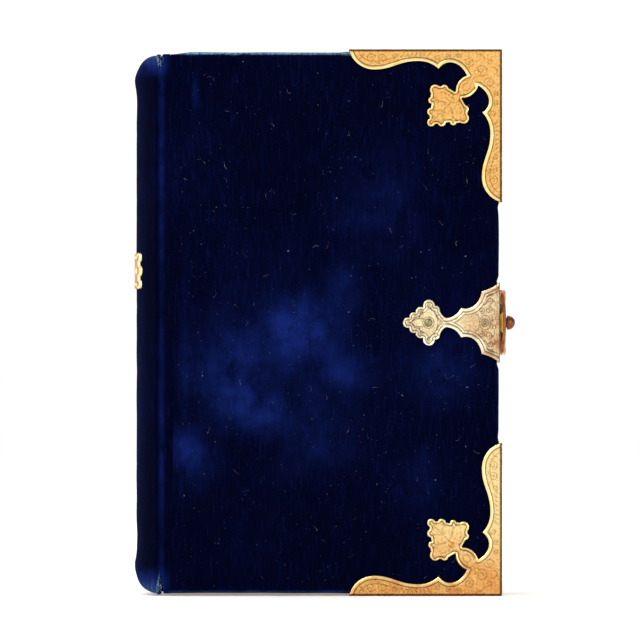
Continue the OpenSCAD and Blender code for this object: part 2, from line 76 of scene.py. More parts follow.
COVER_LO, COVER_HI = corners("front_velvet")        # the front cover's velvet
CORNER_HI = corners("front_head_corner")[1]
PLATE_HI = corners("catch_plate")[1]
HASP_LO, HASP_HI = corners("hasp")
SPINE_LO, SPINE_HI = corners("spine_velvet")
PLAQUE_LO, PLAQUE_HI = corners("spine_plaque")
KNOB_MIDDLE, KNOB_HI = sum(corners("thumb_knob")) / 2, corners("thumb_knob")[1]
PIN_X, PIN_Y = (sum(corners("hinge_pin")) / 2)[:2]  # the hasp's hinge axis
BACK_HI = corners("back_velvet")[1]

FRONT_Y = COVER_LO[1]                               # the front cover's outer face
COVER_T = COVER_HI[1] - COVER_LO[1]                 # thickness of a cover with its velvet
MID_Y = (COVER_LO[1] + BACK_HI[1]) / 2              # the plane halfway through the book
MID_Z = (COVER_LO[2] + COVER_HI[2]) / 2
COVER_HALF = COVER_HI[2] - MID_Z                    # half the height of a cover
SHEET = CORNER_HI[0] - COVER_HI[0]                  # thickness of the sheet brass
SPINE_R = 24.936                                    # outside of the velvet on the spine
SPINE_CX = SPINE_LO[0] + SPINE_R
SPINE_END = -43.6                                   # where the spine's velvet turns down into the front joint
SWELL = 0.75                                        # how far the worn velvet stands off the spine
GROOVE_X = -42.1                                    # the bottom of the joints' hollows
LEAF_R = 22.136                                     # the rounded backs of the leaves
PAGE = 83.95                                        # from a leaf's back to its fore-edge
ARM = 39.2                                          # length of each arm of a corner mount

# The studio: the floor's radius, its rim's steps out and up, and each lamp's place, size and share, in metres
FLOOR = 2.6
RIM = ((0.24, 0.02), (0.2, 0.05), (0.14, 0.08), (0.08, 0.1), (0.03, 0.12), (0.0, 0.12))
LAMPS = (("key", (-0.75, -1.0, 1.0), 0.7, 1.0), ("fill", (0.9, -0.9, 0.35), 0.9, 0.45),
         ("back", (0.3, 1.1, 0.9), 0.9, 0.5))
EYE_X, EYE_Z = -1.46, 70.67                         # the camera's place across and up
SENSOR = 36.0                                       # width of the camera's sensor

# ---------------------------------------------------------------- settings


class VelvetSettings(bpy.types.PropertyGroup):
    """Sizes and colours of the velvet."""

    pile: FloatVectorProperty(
        name="Pile", description="Colour of the deep pile", subtype="COLOR", default=(0.0002, 0.0004, 0.0062))
    # Also the colour of the painted sheen along the edges, the joints and the spine's outer edge
    rubbed_and_sheen: FloatVectorProperty(
        name="Rubbed pile", description="Colour where the pile is crushed", subtype="COLOR",
        default=(0.0042, 0.0118, 0.100))
    # Also the colour of the painted sheen along the head edge
    bare: FloatVectorProperty(
        name="Bare ground", description="Colour where the pile has worn off", subtype="COLOR",
        default=(0.22, 0.44, 0.58))
    edge_radius: FloatProperty(
        name="Edge radius", description="Roundness of the velvet over the boards' edges", unit="LENGTH",
        default=1.2 * MM, min=0.5 * MM, max=1.6 * MM)
    specks: IntProperty(name="Specks", description="Number of lint specks", default=900, min=0, max=1500)


class MetalSettings(bpy.types.PropertyGroup):
    """Sizes and colours of the brass mounts."""

    gilt: FloatVectorProperty(
        name="Gilt", description="Colour of the corner mounts", subtype="COLOR", default=(0.80, 0.45, 0.14))
    pale: FloatVectorProperty(
        name="Pale gilt", description="Colour of the clasp plates", subtype="COLOR", default=(0.84, 0.70, 0.43))
    copper: FloatVectorProperty(
        name="Copper", description="Colour of the hasp and knob", subtype="COLOR", default=(0.30, 0.11, 0.045))
    relief: FloatProperty(
        name="Relief", description="Height of the raised rims", unit="LENGTH", default=0.16 * MM,
        min=0.05 * MM, max=0.4 * MM)
    spacing: FloatProperty(
        name="Detail", description="Distance between the points of the relief", unit="LENGTH",
        default=0.205 * MM, min=0.15 * MM, max=0.6 * MM)


class PaperSettings(bpy.types.PropertyGroup):
    """Sizes of the leaves."""

    sheet: FloatProperty(
        name="Sheet", description="Thickness of each sheet that is drawn", unit="LENGTH", default=0.36 * MM,
        min=0.1 * MM, max=1.0 * MM)
    uneven: FloatProperty(
        name="Unevenness", description="How far the sheets' edges differ", unit="LENGTH", default=0.09 * MM,
        min=0.0, max=0.3 * MM)


class StudioSettings(bpy.types.PropertyGroup):
    """Camera and lights."""

    lens: FloatProperty(name="Lens", description="Focal length", subtype="DISTANCE_CAMERA", default=400.0)
    across: FloatProperty(
        name="Width seen", description="Width that the camera sees at the front cover", unit="LENGTH",
        default=163.84 * MM)
    daylight: FloatProperty(name="Daylight", description="Strength of the light all round", default=0.85)
    key: FloatProperty(name="Key light", description="Power of the key light", unit="POWER", default=11.0)


# ---------------------------------------------------------------- small tools


def only(obj=None):
    """Leaves only obj selected and active, in object mode."""
    if bpy.context.object and bpy.context.object.mode != "OBJECT":
        bpy.ops.object.mode_set(mode="OBJECT")
    bpy.ops.object.select_all(action="DESELECT")
    if obj:
        obj.select_set(True)
        bpy.context.view_layer.objects.active = obj
    return obj


def settle(obj):
    """Puts the object's place, turn and scale into its mesh."""
    only(obj)
    bpy.ops.object.transform_apply(location=True, rotation=True, scale=True)
    return obj


def apply_all(obj):
    """Applies the object's modifiers in their order."""
    only(obj)
    for m in list(obj.modifiers):
        bpy.ops.object.modifier_apply(modifier=m.name)
    return obj


def joined(name, parts):
    """Joins the parts into one piece of that name."""
    only(parts[0])
    for p in parts[1:]:
        p.select_set(True)
    if len(parts) > 1:
        bpy.ops.object.join()
    parts[0].name = name
    parts[0].data.name = name
    return parts[0]


def outward(obj):
    """Turns the faces of a closed piece outwards."""
    only(obj)
    bpy.ops.object.mode_set(mode="EDIT")
    bpy.ops.mesh.select_all(action="SELECT")
    bpy.ops.mesh.normals_make_consistent(inside=False)
    bpy.ops.object.mode_set(mode="OBJECT")
    return obj


def smooth(obj, degrees=35):
    """Shades the piece smooth except at its sharp edges."""
    only(obj)
    bpy.ops.object.shade_smooth_by_angle(angle=math.radians(degrees))
    return obj


def from_points(name, points, faces):
    """A mesh piece from points in millimetres."""
    mesh = bpy.data.meshes.new(name)
    mesh.from_pydata([tuple(float(c) * MM for c in p) for p in points], [], faces)
    mesh.update()
    obj = bpy.data.objects.new(name, mesh)
    bpy.context.scene.collection.objects.link(obj)
    return obj


def mirrored(obj, name, axis, plane):
    """A copy of the piece mirrored in the plane at that place, in millimetres, along axis 0, 1 or 2."""
    copy = obj.copy()
    copy.data = obj.data.copy()
    copy.name = copy.data.name = name
    bpy.context.scene.collection.objects.link(copy)
    co = np.empty(len(copy.data.vertices) * 3, np.float32)
    copy.data.vertices.foreach_get("co", co)
    co = co.reshape(-1, 3)
    co[:, axis] = 2 * plane * MM - co[:, axis]
    copy.data.vertices.foreach_set("co", co.ravel())
    copy.data.flip_normals()
    copy.data.update()
    return copy


def bar(name, lo, hi, soften=0.15):
    """A box between two corners, in millimetres, with softened edges."""
    lo, hi = np.array(lo, float), np.array(hi, float)
    only()
    bpy.ops.mesh.primitive_cube_add(size=1, location=tuple((lo + hi) / 2 * MM), scale=tuple((hi - lo) * MM))
    obj = settle(bpy.context.object)
    obj.name = name
    bpy.ops.object.mode_set(mode="EDIT")
    bpy.ops.mesh.select_all(action="SELECT")
    bpy.ops.mesh.bevel(offset=soften * MM, segments=3, affect="EDGES")
    bpy.ops.object.mode_set(mode="OBJECT")
    return obj


def rod(name, at, radius, half, soften=0.12):
    """An upright round rod round a point, in millimetres, with softened ends."""
    only()
    bpy.ops.mesh.primitive_cylinder_add(
        vertices=40, radius=radius * MM, depth=2 * half * MM, location=tuple(np.array(at) * MM))
    obj = settle(bpy.context.object)
    obj.name = name
    bpy.ops.object.mode_set(mode="EDIT")
    bpy.ops.mesh.select_all(action="DESELECT")
    bpy.ops.object.mode_set(mode="OBJECT")
    for face in obj.data.polygons:
        face.select = abs(face.normal.z) > 0.9
    bpy.ops.object.mode_set(mode="EDIT")
    bpy.ops.mesh.select_mode(type="FACE")
    bpy.ops.mesh.bevel(offset=soften * MM, segments=3, affect="EDGES")
    bpy.ops.object.mode_set(mode="OBJECT")
    return obj


def give(obj, attribute, values):
    """Stores one number for each point of the piece."""
    layer = obj.data.attributes.get(attribute) or obj.data.attributes.new(attribute, "FLOAT", "POINT")
    layer.data.foreach_set("value", np.asarray(values, np.float32))


def places(obj):
    """The piece's points in millimetres."""
    co = np.empty(len(obj.data.vertices) * 3, np.float32)
    obj.data.vertices.foreach_get("co", co)
    return co.reshape(-1, 3).astype(float) / MM


def move_to(obj, points):
    """Sets the piece's points, in millimetres."""
    obj.data.vertices.foreach_set("co", (points * MM).astype(np.float32).ravel())
    obj.data.update()


def to_back(obj):
    """Mirrors the piece's points in the plane halfway through the book."""
    p = places(obj)
    p[:, 1] = 2 * MID_Y - p[:, 1]
    move_to(obj, p)


def waves(points, size, seed):
    """Soft unevenness between -1 and 1, about size millimetres from hill to hill."""
    rng = np.random.default_rng(seed)
    total = np.zeros(len(points))
    for _ in range(7):
        way = rng.normal(size=3)
        way *= rng.uniform(0.7, 1.5) * 2 * math.pi / size / np.linalg.norm(way)
        total += np.sin(points @ way + rng.uniform(0, 2 * math.pi))
    return total / 4.2


def hump(t):
    """Rises smoothly from 0 to 1 as t goes from 0 to 1."""
    t = np.clip(t, 0, 1)
    return t * t * (3 - 2 * t)


# ---------------------------------------------------------------- finishes


def linear(colour):
    """An sRGB hex colour as linear light."""
    parts = [int(colour[i:i + 2], 16) / 255 for i in (1, 3, 5)]
    return tuple(c / 12.92 if c <= 0.04045 else ((c + 0.055) / 1.055) ** 2.4 for c in parts) + (1.0,)


def add(tree, kind, inputs=(), out=0, **settings):
    """Adds a node with its settings. Inputs are values or the outputs that feed them, in order or by name.
    Gives back the output out, or the node itself where out is None."""
    node = tree.nodes.new("ShaderNode" + kind)
    for key, value in settings.items():
        setattr(node, key, value)
    for key, value in inputs.items() if isinstance(inputs, dict) else enumerate(inputs):
        if isinstance(value, bpy.types.NodeSocket):
            tree.links.new(value, node.inputs[key])
        else:
            node.inputs[key].default_value = value
    return node if out is None else node.outputs[out]


TIMES = {"operation": "MULTIPLY"}
TIMES_PLUS = {"operation": "MULTIPLY_ADD"}          # the first input times the second, plus the third


def started(name, surface, *patterns):
    """An empty finish, what adds its nodes, its Object coordinates, and its noise patterns, each given by its
    size along X, Y and Z in millimetres, its detail and its roughness."""
    mat = bpy.data.materials.new(name)
    mat.use_nodes = True
    mat.node_tree.nodes.clear()
    node = partial(add, mat.node_tree)
    node("OutputMaterial", {"Surface": node("BsdfPrincipled", surface)}, None)
    where = node("TexCoord", out="Object")
    made = []
    for size, detail, rough in patterns:
        place = node("Mapping", {"Vector": where, "Scale": tuple(1 / (v * MM) for v in size)})
        made.append(node("TexNoise", {"Vector": place, "Scale": 1.0, "Detail": detail, "Roughness": rough}))
    return mat, node, where, made


def layered(node, base, *layers):
    """Lays colours over the base one after the other, each by its share."""
    for share, colour in layers:
        base = node("Mix", {0: share, 6: base, 7: colour}, 2, data_type="RGBA")
    return base


def finished(mat, colour, height=None, depth=0.0, gloss=None):
    """Feeds the surface its colour, a bump that is depth millimetres deep, and its roughness."""
    tree = mat.node_tree
    feeds = {"Base Color": colour, "Roughness": gloss}
    if height is not None:
        feeds["Normal"] = add(tree, "Bump", {"Height": height, "Distance": depth * MM, "Strength": 1.0})
    for key, socket in feeds.items():
        if socket is not None:
            tree.links.new(socket, tree.nodes["Principled BSDF"].inputs[key])
    return mat


def silk_velvet(s):
    """Silk velvet, woven with a cut pile: it drinks light face on, shines at its edges, and the crushed pile is
    bluer and lighter. Along the edges and the joints the rubbed and bare colours also paint that sheen. The nap
    lies along the height, its streaks coarser than the real pile so that they show."""
    mat, node, _, (nap, fine, cloud) = started(
        "silk_velvet", {"Roughness": 0.92, "Specular IOR Level": 0.015, "Sheen Weight": 0.035,
                        "Sheen Roughness": 0.3, "Sheen Tint": linear("#2440A8")},
        ((0.5, 0.5, 5.0), 4.0, 0.65), ((0.16, 0.16, 0.3), 2.0, 0.55), ((7.0, 7.0, 8.5), 5.0, 0.62))
    worn, thin = (node("Attribute", out="Fac", attribute_name=key) for key in ("rubbed_and_sheen", "bare"))
    patch = node("Math", (worn, node("MapRange", (cloud, 0.34, 0.66, 0.25, 1.35))), **TIMES)
    for noise, low, high, much in ((nap, 0.52, 0.8, 0.26), (fine, 0.56, 0.8, 0.3), (fine, 0.45, 0.25, -0.12)):
        patch = node("Math", (patch, node("MapRange", (noise, low, high, 0.0, much))))
    bare = node("Math", (thin, node("MapRange", (nap, 0.42, 0.6, 0.25, 1.0))), **TIMES)
    dust = node("MapRange", (fine, 0.71, 0.8, 0.0, 0.35))
    colour = layered(node, (*s.pile, 1.0), (node("MapRange", (patch, 0.0, 1.0)), (*s.rubbed_and_sheen, 1.0)),
                     (bare, (*s.bare, 1.0)), (dust, linear("#1C2440")))
    tufts = node("Math", (nap, 0.7, node("Math", (fine, 0.5), **TIMES)), **TIMES_PLUS)
    return finished(mat, colour, tufts, 0.12)


def engraved_brass(name, bright, field, shade, rough, wear=None, fresh=None):
    """Gilt sheet brass, stamped and engraved: polished rims, a duller warm field, and cut lines dark with old
    dirt. The dark cut colour also carries painted shade at the folded edges and on the walls. Its patterns are
    tarnish clouds, the grain of the gilding and fine scratches, and the grain's dark and bright flecks in the
    field are painted shade and painted glints for the metal's uneven reflections. wear is a colour, an axis and
    the places between which it grows, and fresh is the colour near the tail."""
    mat, node, where, (cloud, small, scratch) = started(
        name, {"Metallic": 1.0}, ((4.0, 4.0, 4.0), 5.0, 0.6), ((0.35, 0.35, 0.35), 3.0, 0.55),
        ((0.12, 2.5, 1.6), 2.0, 0.55))
    bright, shade = linear(bright), linear(shade)
    in_field, cut = (node("Attribute", out="Fac", attribute_name=key) for key in ("field", "cut"))
    axes = node("SeparateXYZ", (where,), None).outputs
    layers = [(in_field, (*field, 1.0)), (node("MapRange", (cloud, 0.42, 0.7, 0.0, 0.55)), shade),
              # Dark flecks of the grain in the field: painted shade for the metal's uneven reflections
              (node("Math", (node("MapRange", (small, 0.5, 0.3, 0.0, 0.75)), in_field), **TIMES), shade)]
    if fresh:
        # Less handled towards the tail, so the gilding is paler there
        above, below = ((0.004, 0.02, 0.0, 0.62), (0.055, 0.05))
        between = [node("MapRange", (axes[2], *span)) for span in (above, below)]
        layers.append((node("Math", between, **TIMES), linear(fresh)))
    if wear:
        tint, axis, start, end = wear
        reach = node("MapRange", (axes[axis], start, end))
        patches = node("MapRange", (cloud, 0.38, 0.6, 0.2, 0.85))
        layers.append((node("Math", (reach, patches), **TIMES), linear(tint)))
    # Bright flecks of the grain in the field are painted glints
    layers += [(node("Math", (node("MapRange", (small, 0.56, 0.74, 0.0, 0.8)), in_field), **TIMES), bright),
               (node("Math", (cut, 0.95), **TIMES), linear("#3A2009"))]
    base = node("MapRange", (cloud, 0.35, 0.7, rough, rough + 0.16))
    gloss = node("Math", (in_field, 0.12, base), **TIMES_PLUS)
    height = node("Math", (scratch, 0.3, small), **TIMES_PLUS)
    return finished(mat, layered(node, bright, *layers), height, 0.035, gloss)


def millboard():
    """Millboard, pressed from rag and rope fibre: grey-brown, matt, flecked."""
    mat, node, _, (fleck,) = started("millboard", {"Roughness": 0.9}, ((0.4, 0.4, 1.6), 4.0, 0.55))
    share = node("MapRange", (fleck, 0.35, 0.68))
    return finished(mat, layered(node, linear("#8B8069"), (share, linear("#6A604E"))), fleck, 0.08)


def aged_paper(name, light, dark):
    """Laid rag paper: cream, a little browner in clouds, with a few fox marks and laid lines 1 mm apart."""
    mat, node, where, (cloud, fibre) = started(
        name, {"Roughness": 0.85}, ((18, 18, 18), 5.0, 0.55), ((0.5, 0.5, 0.9), 3.0, 0.55))
    light, dark = linear(light), linear(dark)
    spots = node("TexVoronoi", {"Vector": where, "Scale": 1 / (9 * MM)})
    lines = node("TexWave", {"Vector": where, "Scale": 0.31 / MM, "Distortion": 0.3}, 1, bands_direction="Z")
    near, among = node("MapRange", (spots, 0.1, 0.02, 0.0, 0.6)), node("MapRange", (cloud, 0.45, 0.6))
    colour = layered(node, light, (node("MapRange", (cloud, 0.35, 0.7)), dark),
                     (node("Math", (near, among), **TIMES), linear("#A87B48")),
                     (node("Math", (lines, 0.06), **TIMES), dark))
    return finished(mat, colour, node("Math", (lines, 0.2, fibre), **TIMES_PLUS), 0.03)


def gilt_edge():
    """Gold leaf laid on the cut edges of the leaves and burnished: warm, with fine lines where the sheets meet.
    Sheets are 0.1 mm thick, but the lines are drawn 0.22 mm apart so that they show, straight along each."""
    mat, node, _, (line, worn) = started(
        "gilt_edge", {"Metallic": 1.0}, ((90, 0.22, 90), 2.0, 0.5), ((6, 5, 7), 4.0, 0.55))
    colour = layered(node, linear("#EBC676"), (node("MapRange", (line, 0.4, 0.7)), linear("#C99A50")),
                     (node("MapRange", (worn, 0.62, 0.78, 0.0, 0.5)), linear("#D2B684")))
    return finished(mat, colour, line, 0.03, node("MapRange", (worn, 0.35, 0.7, 0.22, 0.42)))


def open_cloth():
    """Mull, an open plain-woven cotton stiffened with glue: threads 0.6 mm apart over brown glue."""
    mat, node, where, _ = started("mull_cloth", {"Roughness": 0.9})
    woven = [node("TexWave", {"Vector": where, "Scale": 0.52 / MM}, 1, bands_direction=way) for way in "ZY"]
    threads = node("Math", woven, operation="MAXIMUM")
    share = node("MapRange", (threads, 0.45, 0.75))
    return finished(mat, layered(node, linear("#8A6A42"), (share, linear("#D8CBAE"))), threads, 0.1)


def twisted_thread(name, light, dark, pitch):
    """Thread wound or twisted round a core: alternating bands with a rounded top each."""
    mat, node, where, _ = started(name, {"Roughness": 0.6, "Sheen Weight": 0.2})
    turns, fine = (node("TexWave", {"Vector": where, "Scale": scale / pitch / MM, "Distortion": bend}, 1,
                        bands_direction="Y") for scale, bend in ((0.314, 0.15), (1.25, 0.3)))
    colour = layered(node, linear(light), (node("MapRange", (turns, 0.44, 0.56)), linear(dark)))
    return finished(mat, colour, node("Math", (turns, 0.3, fine), **TIMES_PLUS), 0.12)


def loose_fibre(name, light, dark):
    """Loose silk and dust fibre: pale and matt."""
    mat, node, _, (tint,) = started(name, {"Roughness": 0.8}, ((1.5, 1.5, 1.5), 2.0, 0.55))
    return finished(mat, layered(node, linear(light), (node("MapRange", (tint, 0.4, 0.6)), linear(dark))))


FINISH = {}


def finish_in(obj, *names):
    """Gives the piece those finishes as its material slots."""
    obj.data.materials.clear()
    for n in names:
        obj.data.materials.append(FINISH[n])
    return obj


# ---------------------------------------------------------------- engraved sheet brass


def cubic(p, t):
    """Points of a cubic curve from its four control points."""
    p, t = np.array(p, float), t[:, None]
    return (1 - t) ** 3 * p[0] + 3 * (1 - t) ** 2 * t * p[1] + 3 * (1 - t) * t * t * p[2] + t ** 3 * p[3]


def curve(p, n=10):
    """A cubic curve without its last point, so that the next curve can follow."""
    return cubic(p, np.arange(n) / n)


def disc(x, y, r, n=28):
    """A circle as an outline."""
    a = np.arange(n) * 2 * math.pi / n
    return np.column_stack([x + r * np.cos(a), y + r * np.sin(a)])


def both_sides(half):
    """Closes half an outline with its reflection in the first axis."""
    half = np.array(half, float)
    return np.vstack([half, half[::-1] * [1, -1]])


def both(lobes):
    """Round lobes together with their reflections in the first axis."""
    return [(u, s * v, r) for u, v, r in lobes for s in ((-1, 1) if v else (1,))]


def domes(points, lobes):
    """A low dome, 1 high, over each lobe."""
    return sum(np.clip(1 - (np.hypot(points[:, 0] - u, points[:, 1] - v) / r) ** 2, 0, 1)
               for u, v, r in both(lobes))


def sampled(line, step, closed=True):
    """Points along a line, no further apart than step."""
    ends = np.roll(line, -1, axis=0) if closed else line[1:]
    out = []
    for a, b in zip(line, ends):
        n = max(1, int(np.ceil(np.linalg.norm(b - a) / step)))
        out.append(a + (b - a) * (np.arange(n) / n)[:, None])
    return np.vstack(out)


def inside(outline, points):
    """Whether each point lies inside the outline."""
    x, y = points[:, 0], points[:, 1]
    odd = np.zeros(len(points), bool)
    for (x0, y0), (x1, y1) in zip(outline, np.roll(outline, -1, axis=0)):
        if y0 != y1:
            odd ^= ((y0 > y) != (y1 > y)) & (x < (x1 - x0) * (y - y0) / (y1 - y0) + x0)
    return odd


def in_any(outlines, points):
    """Whether each point lies inside any of the outlines."""
    return np.any([inside(o, points) for o in outlines], axis=0) if outlines else np.zeros(len(points), bool)


def nearest(points, targets):
    """Each point's distance to the nearest target."""
    out = np.full(len(points), 99.0)
    if len(targets):
        for k in range(0, len(points), 400):
            d = points[k:k + 400, None, :] - targets[None, :, :]
            out[k:k + 400] = np.sqrt((d * d).sum(2).min(1))
    return out


def scroll(x, y, r, start=0, turns=1.3, hand=1):
    """A foliage scroll that winds in to its middle."""
    t = np.linspace(0, 1, 26)
    a = math.radians(start) + hand * t * turns * 2 * math.pi
    rr = r * (1 - 0.8 * t)
    return np.column_stack([x + rr * np.cos(a), y + rr * np.sin(a)])


def stroke(x0, y0, x1, y1, bow=0.0):
    """A short cut line, bowed to one side."""
    t = np.linspace(0, 1, 8)[:, None]
    a, b = np.array([x0, y0]), np.array([x1, y1])
    side = np.array([-(y1 - y0), x1 - x0])
    return a + (b - a) * t + side * bow * 4 * t * (1 - t)


def cut_points(lines, step=0.08):
    """Points close together along all the lines."""
    return np.vstack([sampled(line, step, closed=False) for line in lines])


def grooves(points, cuts, half, d, start, over):
    """How deep each point lies in cut lines of that half width, which begin at a distance from the border."""
    return np.exp(-(nearest(points, cuts) / half) ** 2) * hump((d - start) / over)


def relief_plate(name, outlines, shape, place, spacing, folds=0):
    """A stamped and engraved plate. shape gives height, cut and field for each point and its distance to the
    border; place turns plate coordinates and a height into millimetres, where None is the back. The sheet is
    folded over an edge on the first folds axes, and has no raised rim there."""
    border = []
    for k, o in enumerate(outlines):
        edge = sampled(o, spacing * 0.7)
        border.append(edge[~in_any(outlines[:k] + outlines[k + 1:], edge)])
    border = np.vstack(border)
    lo, hi = border.min(0), border.max(0)
    rows = np.arange(lo[1], hi[1], spacing * 0.87)
    row = np.arange(lo[0], hi[0], spacing)
    grid = np.vstack([np.column_stack([row + (i % 2) * spacing / 2, np.full(len(row), r)])
                      for i, r in enumerate(rows)])
    grid = grid[in_any(outlines, grid)]
    grid = grid[nearest(grid, border) > spacing * 0.55]
    flat = np.vstack([border, grid])
    verts, _, faces, *_ = delaunay_2d_cdt([Vector(p) for p in flat], [], [], 0, 1e-4)
    flat = np.array([tuple(v) for v in verts])
    faces = np.array([f for f in faces if len(f) == 3])
    faces = faces[in_any(outlines, flat[faces].mean(1))]
    height, cut, field = shape(flat, nearest(flat, border[~(border[:, :folds] < 0.02).any(1)]))
    edges = {}
    for f in faces:
        for a, b in ((f[0], f[1]), (f[1], f[2]), (f[2], f[0])):
            edges[(a, b)] = edges.get((a, b), 0) + 1
    rim = [(a, b) for a, b in edges if (b, a) not in edges]
    n = len(flat)
    top = place(flat, height)
    under = place(flat, None)
    all_faces = [tuple(int(i) for i in f) for f in faces] + [tuple(int(i) + n for i in f[::-1]) for f in faces]
    all_faces += [(int(b), int(a), int(a) + n, int(b) + n) for a, b in rim]
    obj = from_points(name, np.vstack([top, under]), all_faces)
    give(obj, "cut", np.concatenate([cut, np.zeros(n)]))
    give(obj, "field", np.concatenate([field, np.zeros(n)]))
    only(obj)
    bpy.ops.object.mode_set(mode="EDIT")
    bpy.ops.mesh.select_all(action="SELECT")
    bpy.ops.mesh.delete_loose()
    bpy.ops.object.mode_set(mode="OBJECT")
    return smooth(outward(obj), 40)


def folded(distance, radius=0.45):
    """How far the surface falls away as it turns over a folded edge."""
    near = np.clip(radius - distance, 0, radius)
    return radius - np.sqrt(radius * radius - near * near)


def rim_profile(d, wide, high):
    """A polished bead along the border with a cut line inside it: height, cut and field."""
    bead = high * np.sqrt(np.clip(np.sin(np.pi * np.clip(d / wide, 0, 1)), 0, 1))
    line = np.exp(-((d - wide - 0.16) / 0.15) ** 2)
    return bead - 0.09 * line, line, hump((d - wide) / 0.3)


# Corner mounts: drawn in from the mount's outer side and in from its outer end
BELLY, WAIST, THROAT = 5.2, 3.0, (9.0, 6.7)
ARM_CURVE = np.vstack([
    curve([[ARM, 0], [ARM - 0.6, 2.9], [ARM - 3.2, BELLY], [ARM - 6.5, BELLY]]),
    curve([[ARM - 6.5, BELLY], [28.2, BELLY], [26.4, WAIST], [21.6, WAIST]]),
    curve([[21.6, WAIST], [19.3, WAIST], [17.5, 3.8], [16.3, 5.0]]),
    curve([[16.3, 5.0], [14.5, 2.4], [10.8, 2.8], THROAT]),
    [THROAT]])
LEAF_LOBES = [(17.6, 3.7, 0.95), (19.5, 5.1, 1.35), (22.0, 3.9, 0.85), (24.2, 1.9, 1.0), (26.1, 0.0, 1.0)]
LEAF_CORE = [(16.3, 1.1), (17.0, 3.7), (18.2, 5.2), (19.6, 5.9), (21.4, 4.9), (22.7, 3.2), (24.2, 2.2),
             (25.2, 1.4), (26.6, 0.0)]
LEAF_ASIDE = 0.4    # how far the bud and leaf are off the mount's diagonal
BUD = np.vstack([curve([[10.6, 1.5], [11.8, 2.7], [14.6, 2.7], [15.8, 1.3]], 8),
                 curve([[15.8, 1.3], [16.2, 1.0], [16.6, 1.0], [17.4, 1.4]], 4)])
DIAGONAL = np.array([[1, 1], [-1, 1]]) / math.sqrt(2)    # turns along and across the leaf into the mount's axes


def corner_outlines():
    """The corner's two arms, its bud and its leaf."""
    arms = np.vstack([[[0, 0]], ARM_CURVE, ARM_CURVE[::-1, ::-1]])
    leaf = [both_sides(LEAF_CORE), both_sides(BUD)]
    leaf += [disc(*lobe) for lobe in both(LEAF_LOBES)]
    return [arms] + [(o + [0, LEAF_ASIDE]) @ DIAGONAL for o in leaf]


def corner_engraving():
    """The scrolls and cut strokes of one corner."""
    lines = []
    for x, y, r, a, t, h in ((33.6, 2.35, 1.25, 200, 1.4, 1), (30.6, 2.3, 1.15, 20, 1.4, -1),
                             (27.6, 1.85, 0.75, 200, 1.2, 1), (16.6, 2.3, 1.0, 20, 1.3, 1),
                             (13.9, 1.55, 0.7, 200, 1.2, -1), (8.6, 3.3, 1.45, 60, 1.5, 1),
                             (11.4, 1.7, 0.7, 150, 1.2, 1)):
        lines.append(scroll(x, y, r, a, t, h))
    for x in np.arange(18.6, 26.4, 1.1):
        lines.append(stroke(x, 0.9, x + 0.9, 1.9, 0.2))
    for x, y, dx, dy in ((35.6, 1.2, 1.4, 1.2), (35.2, 3.4, 1.2, -0.4), (32.1, 3.6, -1.2, 0.6),
                         (29.2, 3.3, -0.9, 0.7), (15.0, 3.4, 0.9, 0.5), (10.2, 3.6, 0.8, 1.6),
                         (9.9, 5.0, -0.9, 1.0), (6.6, 2.0, -1.4, -0.7)):
        lines.append(stroke(x, y, x + dx, y + dy, 0.25))
    lines += [line[:, ::-1] for line in lines]
    lines += [scroll(5.3, 5.3, 1.7, 45, 1.5, 1), disc(3.2, 3.2, 0.55, 14)]
    lines += [stroke(7.0, 7.0, 8.2, 8.2, 0.1), stroke(2.2, 4.6, 1.4, 6.2, 0.2),
              stroke(4.6, 2.2, 6.2, 1.4, -0.2)]
    return cut_points(lines)


def leaf_engraving():
    """Veins, dots and lobe lines of the corner's leaf, and the line inside its bud."""
    lines = [stroke(17.6, 0, 25.4, 0, 0.0)]
    for s in (-1, 1):
        for u, v, bow in ((18.6, 4.9, 0.1), (21.2, 4.2, -0.1), (23.4, 2.0, -0.15)):
            lines.append(stroke(u - 1.5, v * 0.18 * s, u, v * s, bow * s))
            lines.append(stroke(u - 0.4, v * 0.5 * s, u + 0.8, v * 0.74 * s, 0.3 * s))
        lines += [stroke(20.0, 0.9 * s, 21.3, 2.5 * s, 0.2 * s), stroke(24.9, 0.5 * s, 26.2, 0.5 * s, 0.25 * s)]
        for u, v in ((17.2, 1.0), (17.9, 1.7), (19.0, 1.5), (18.3, 0.5)):
            lines.append(disc(u, v * s, 0.13, 8))
    bud = both_sides(BUD)
    lines.append(disc(13.3, 0, 1.0, 20) * [1, 0.9])
    lines.append((bud - bud.mean(0)) * 0.66 + bud.mean(0))
    return (cut_points(lines) + [0, LEAF_ASIDE]) @ DIAGONAL


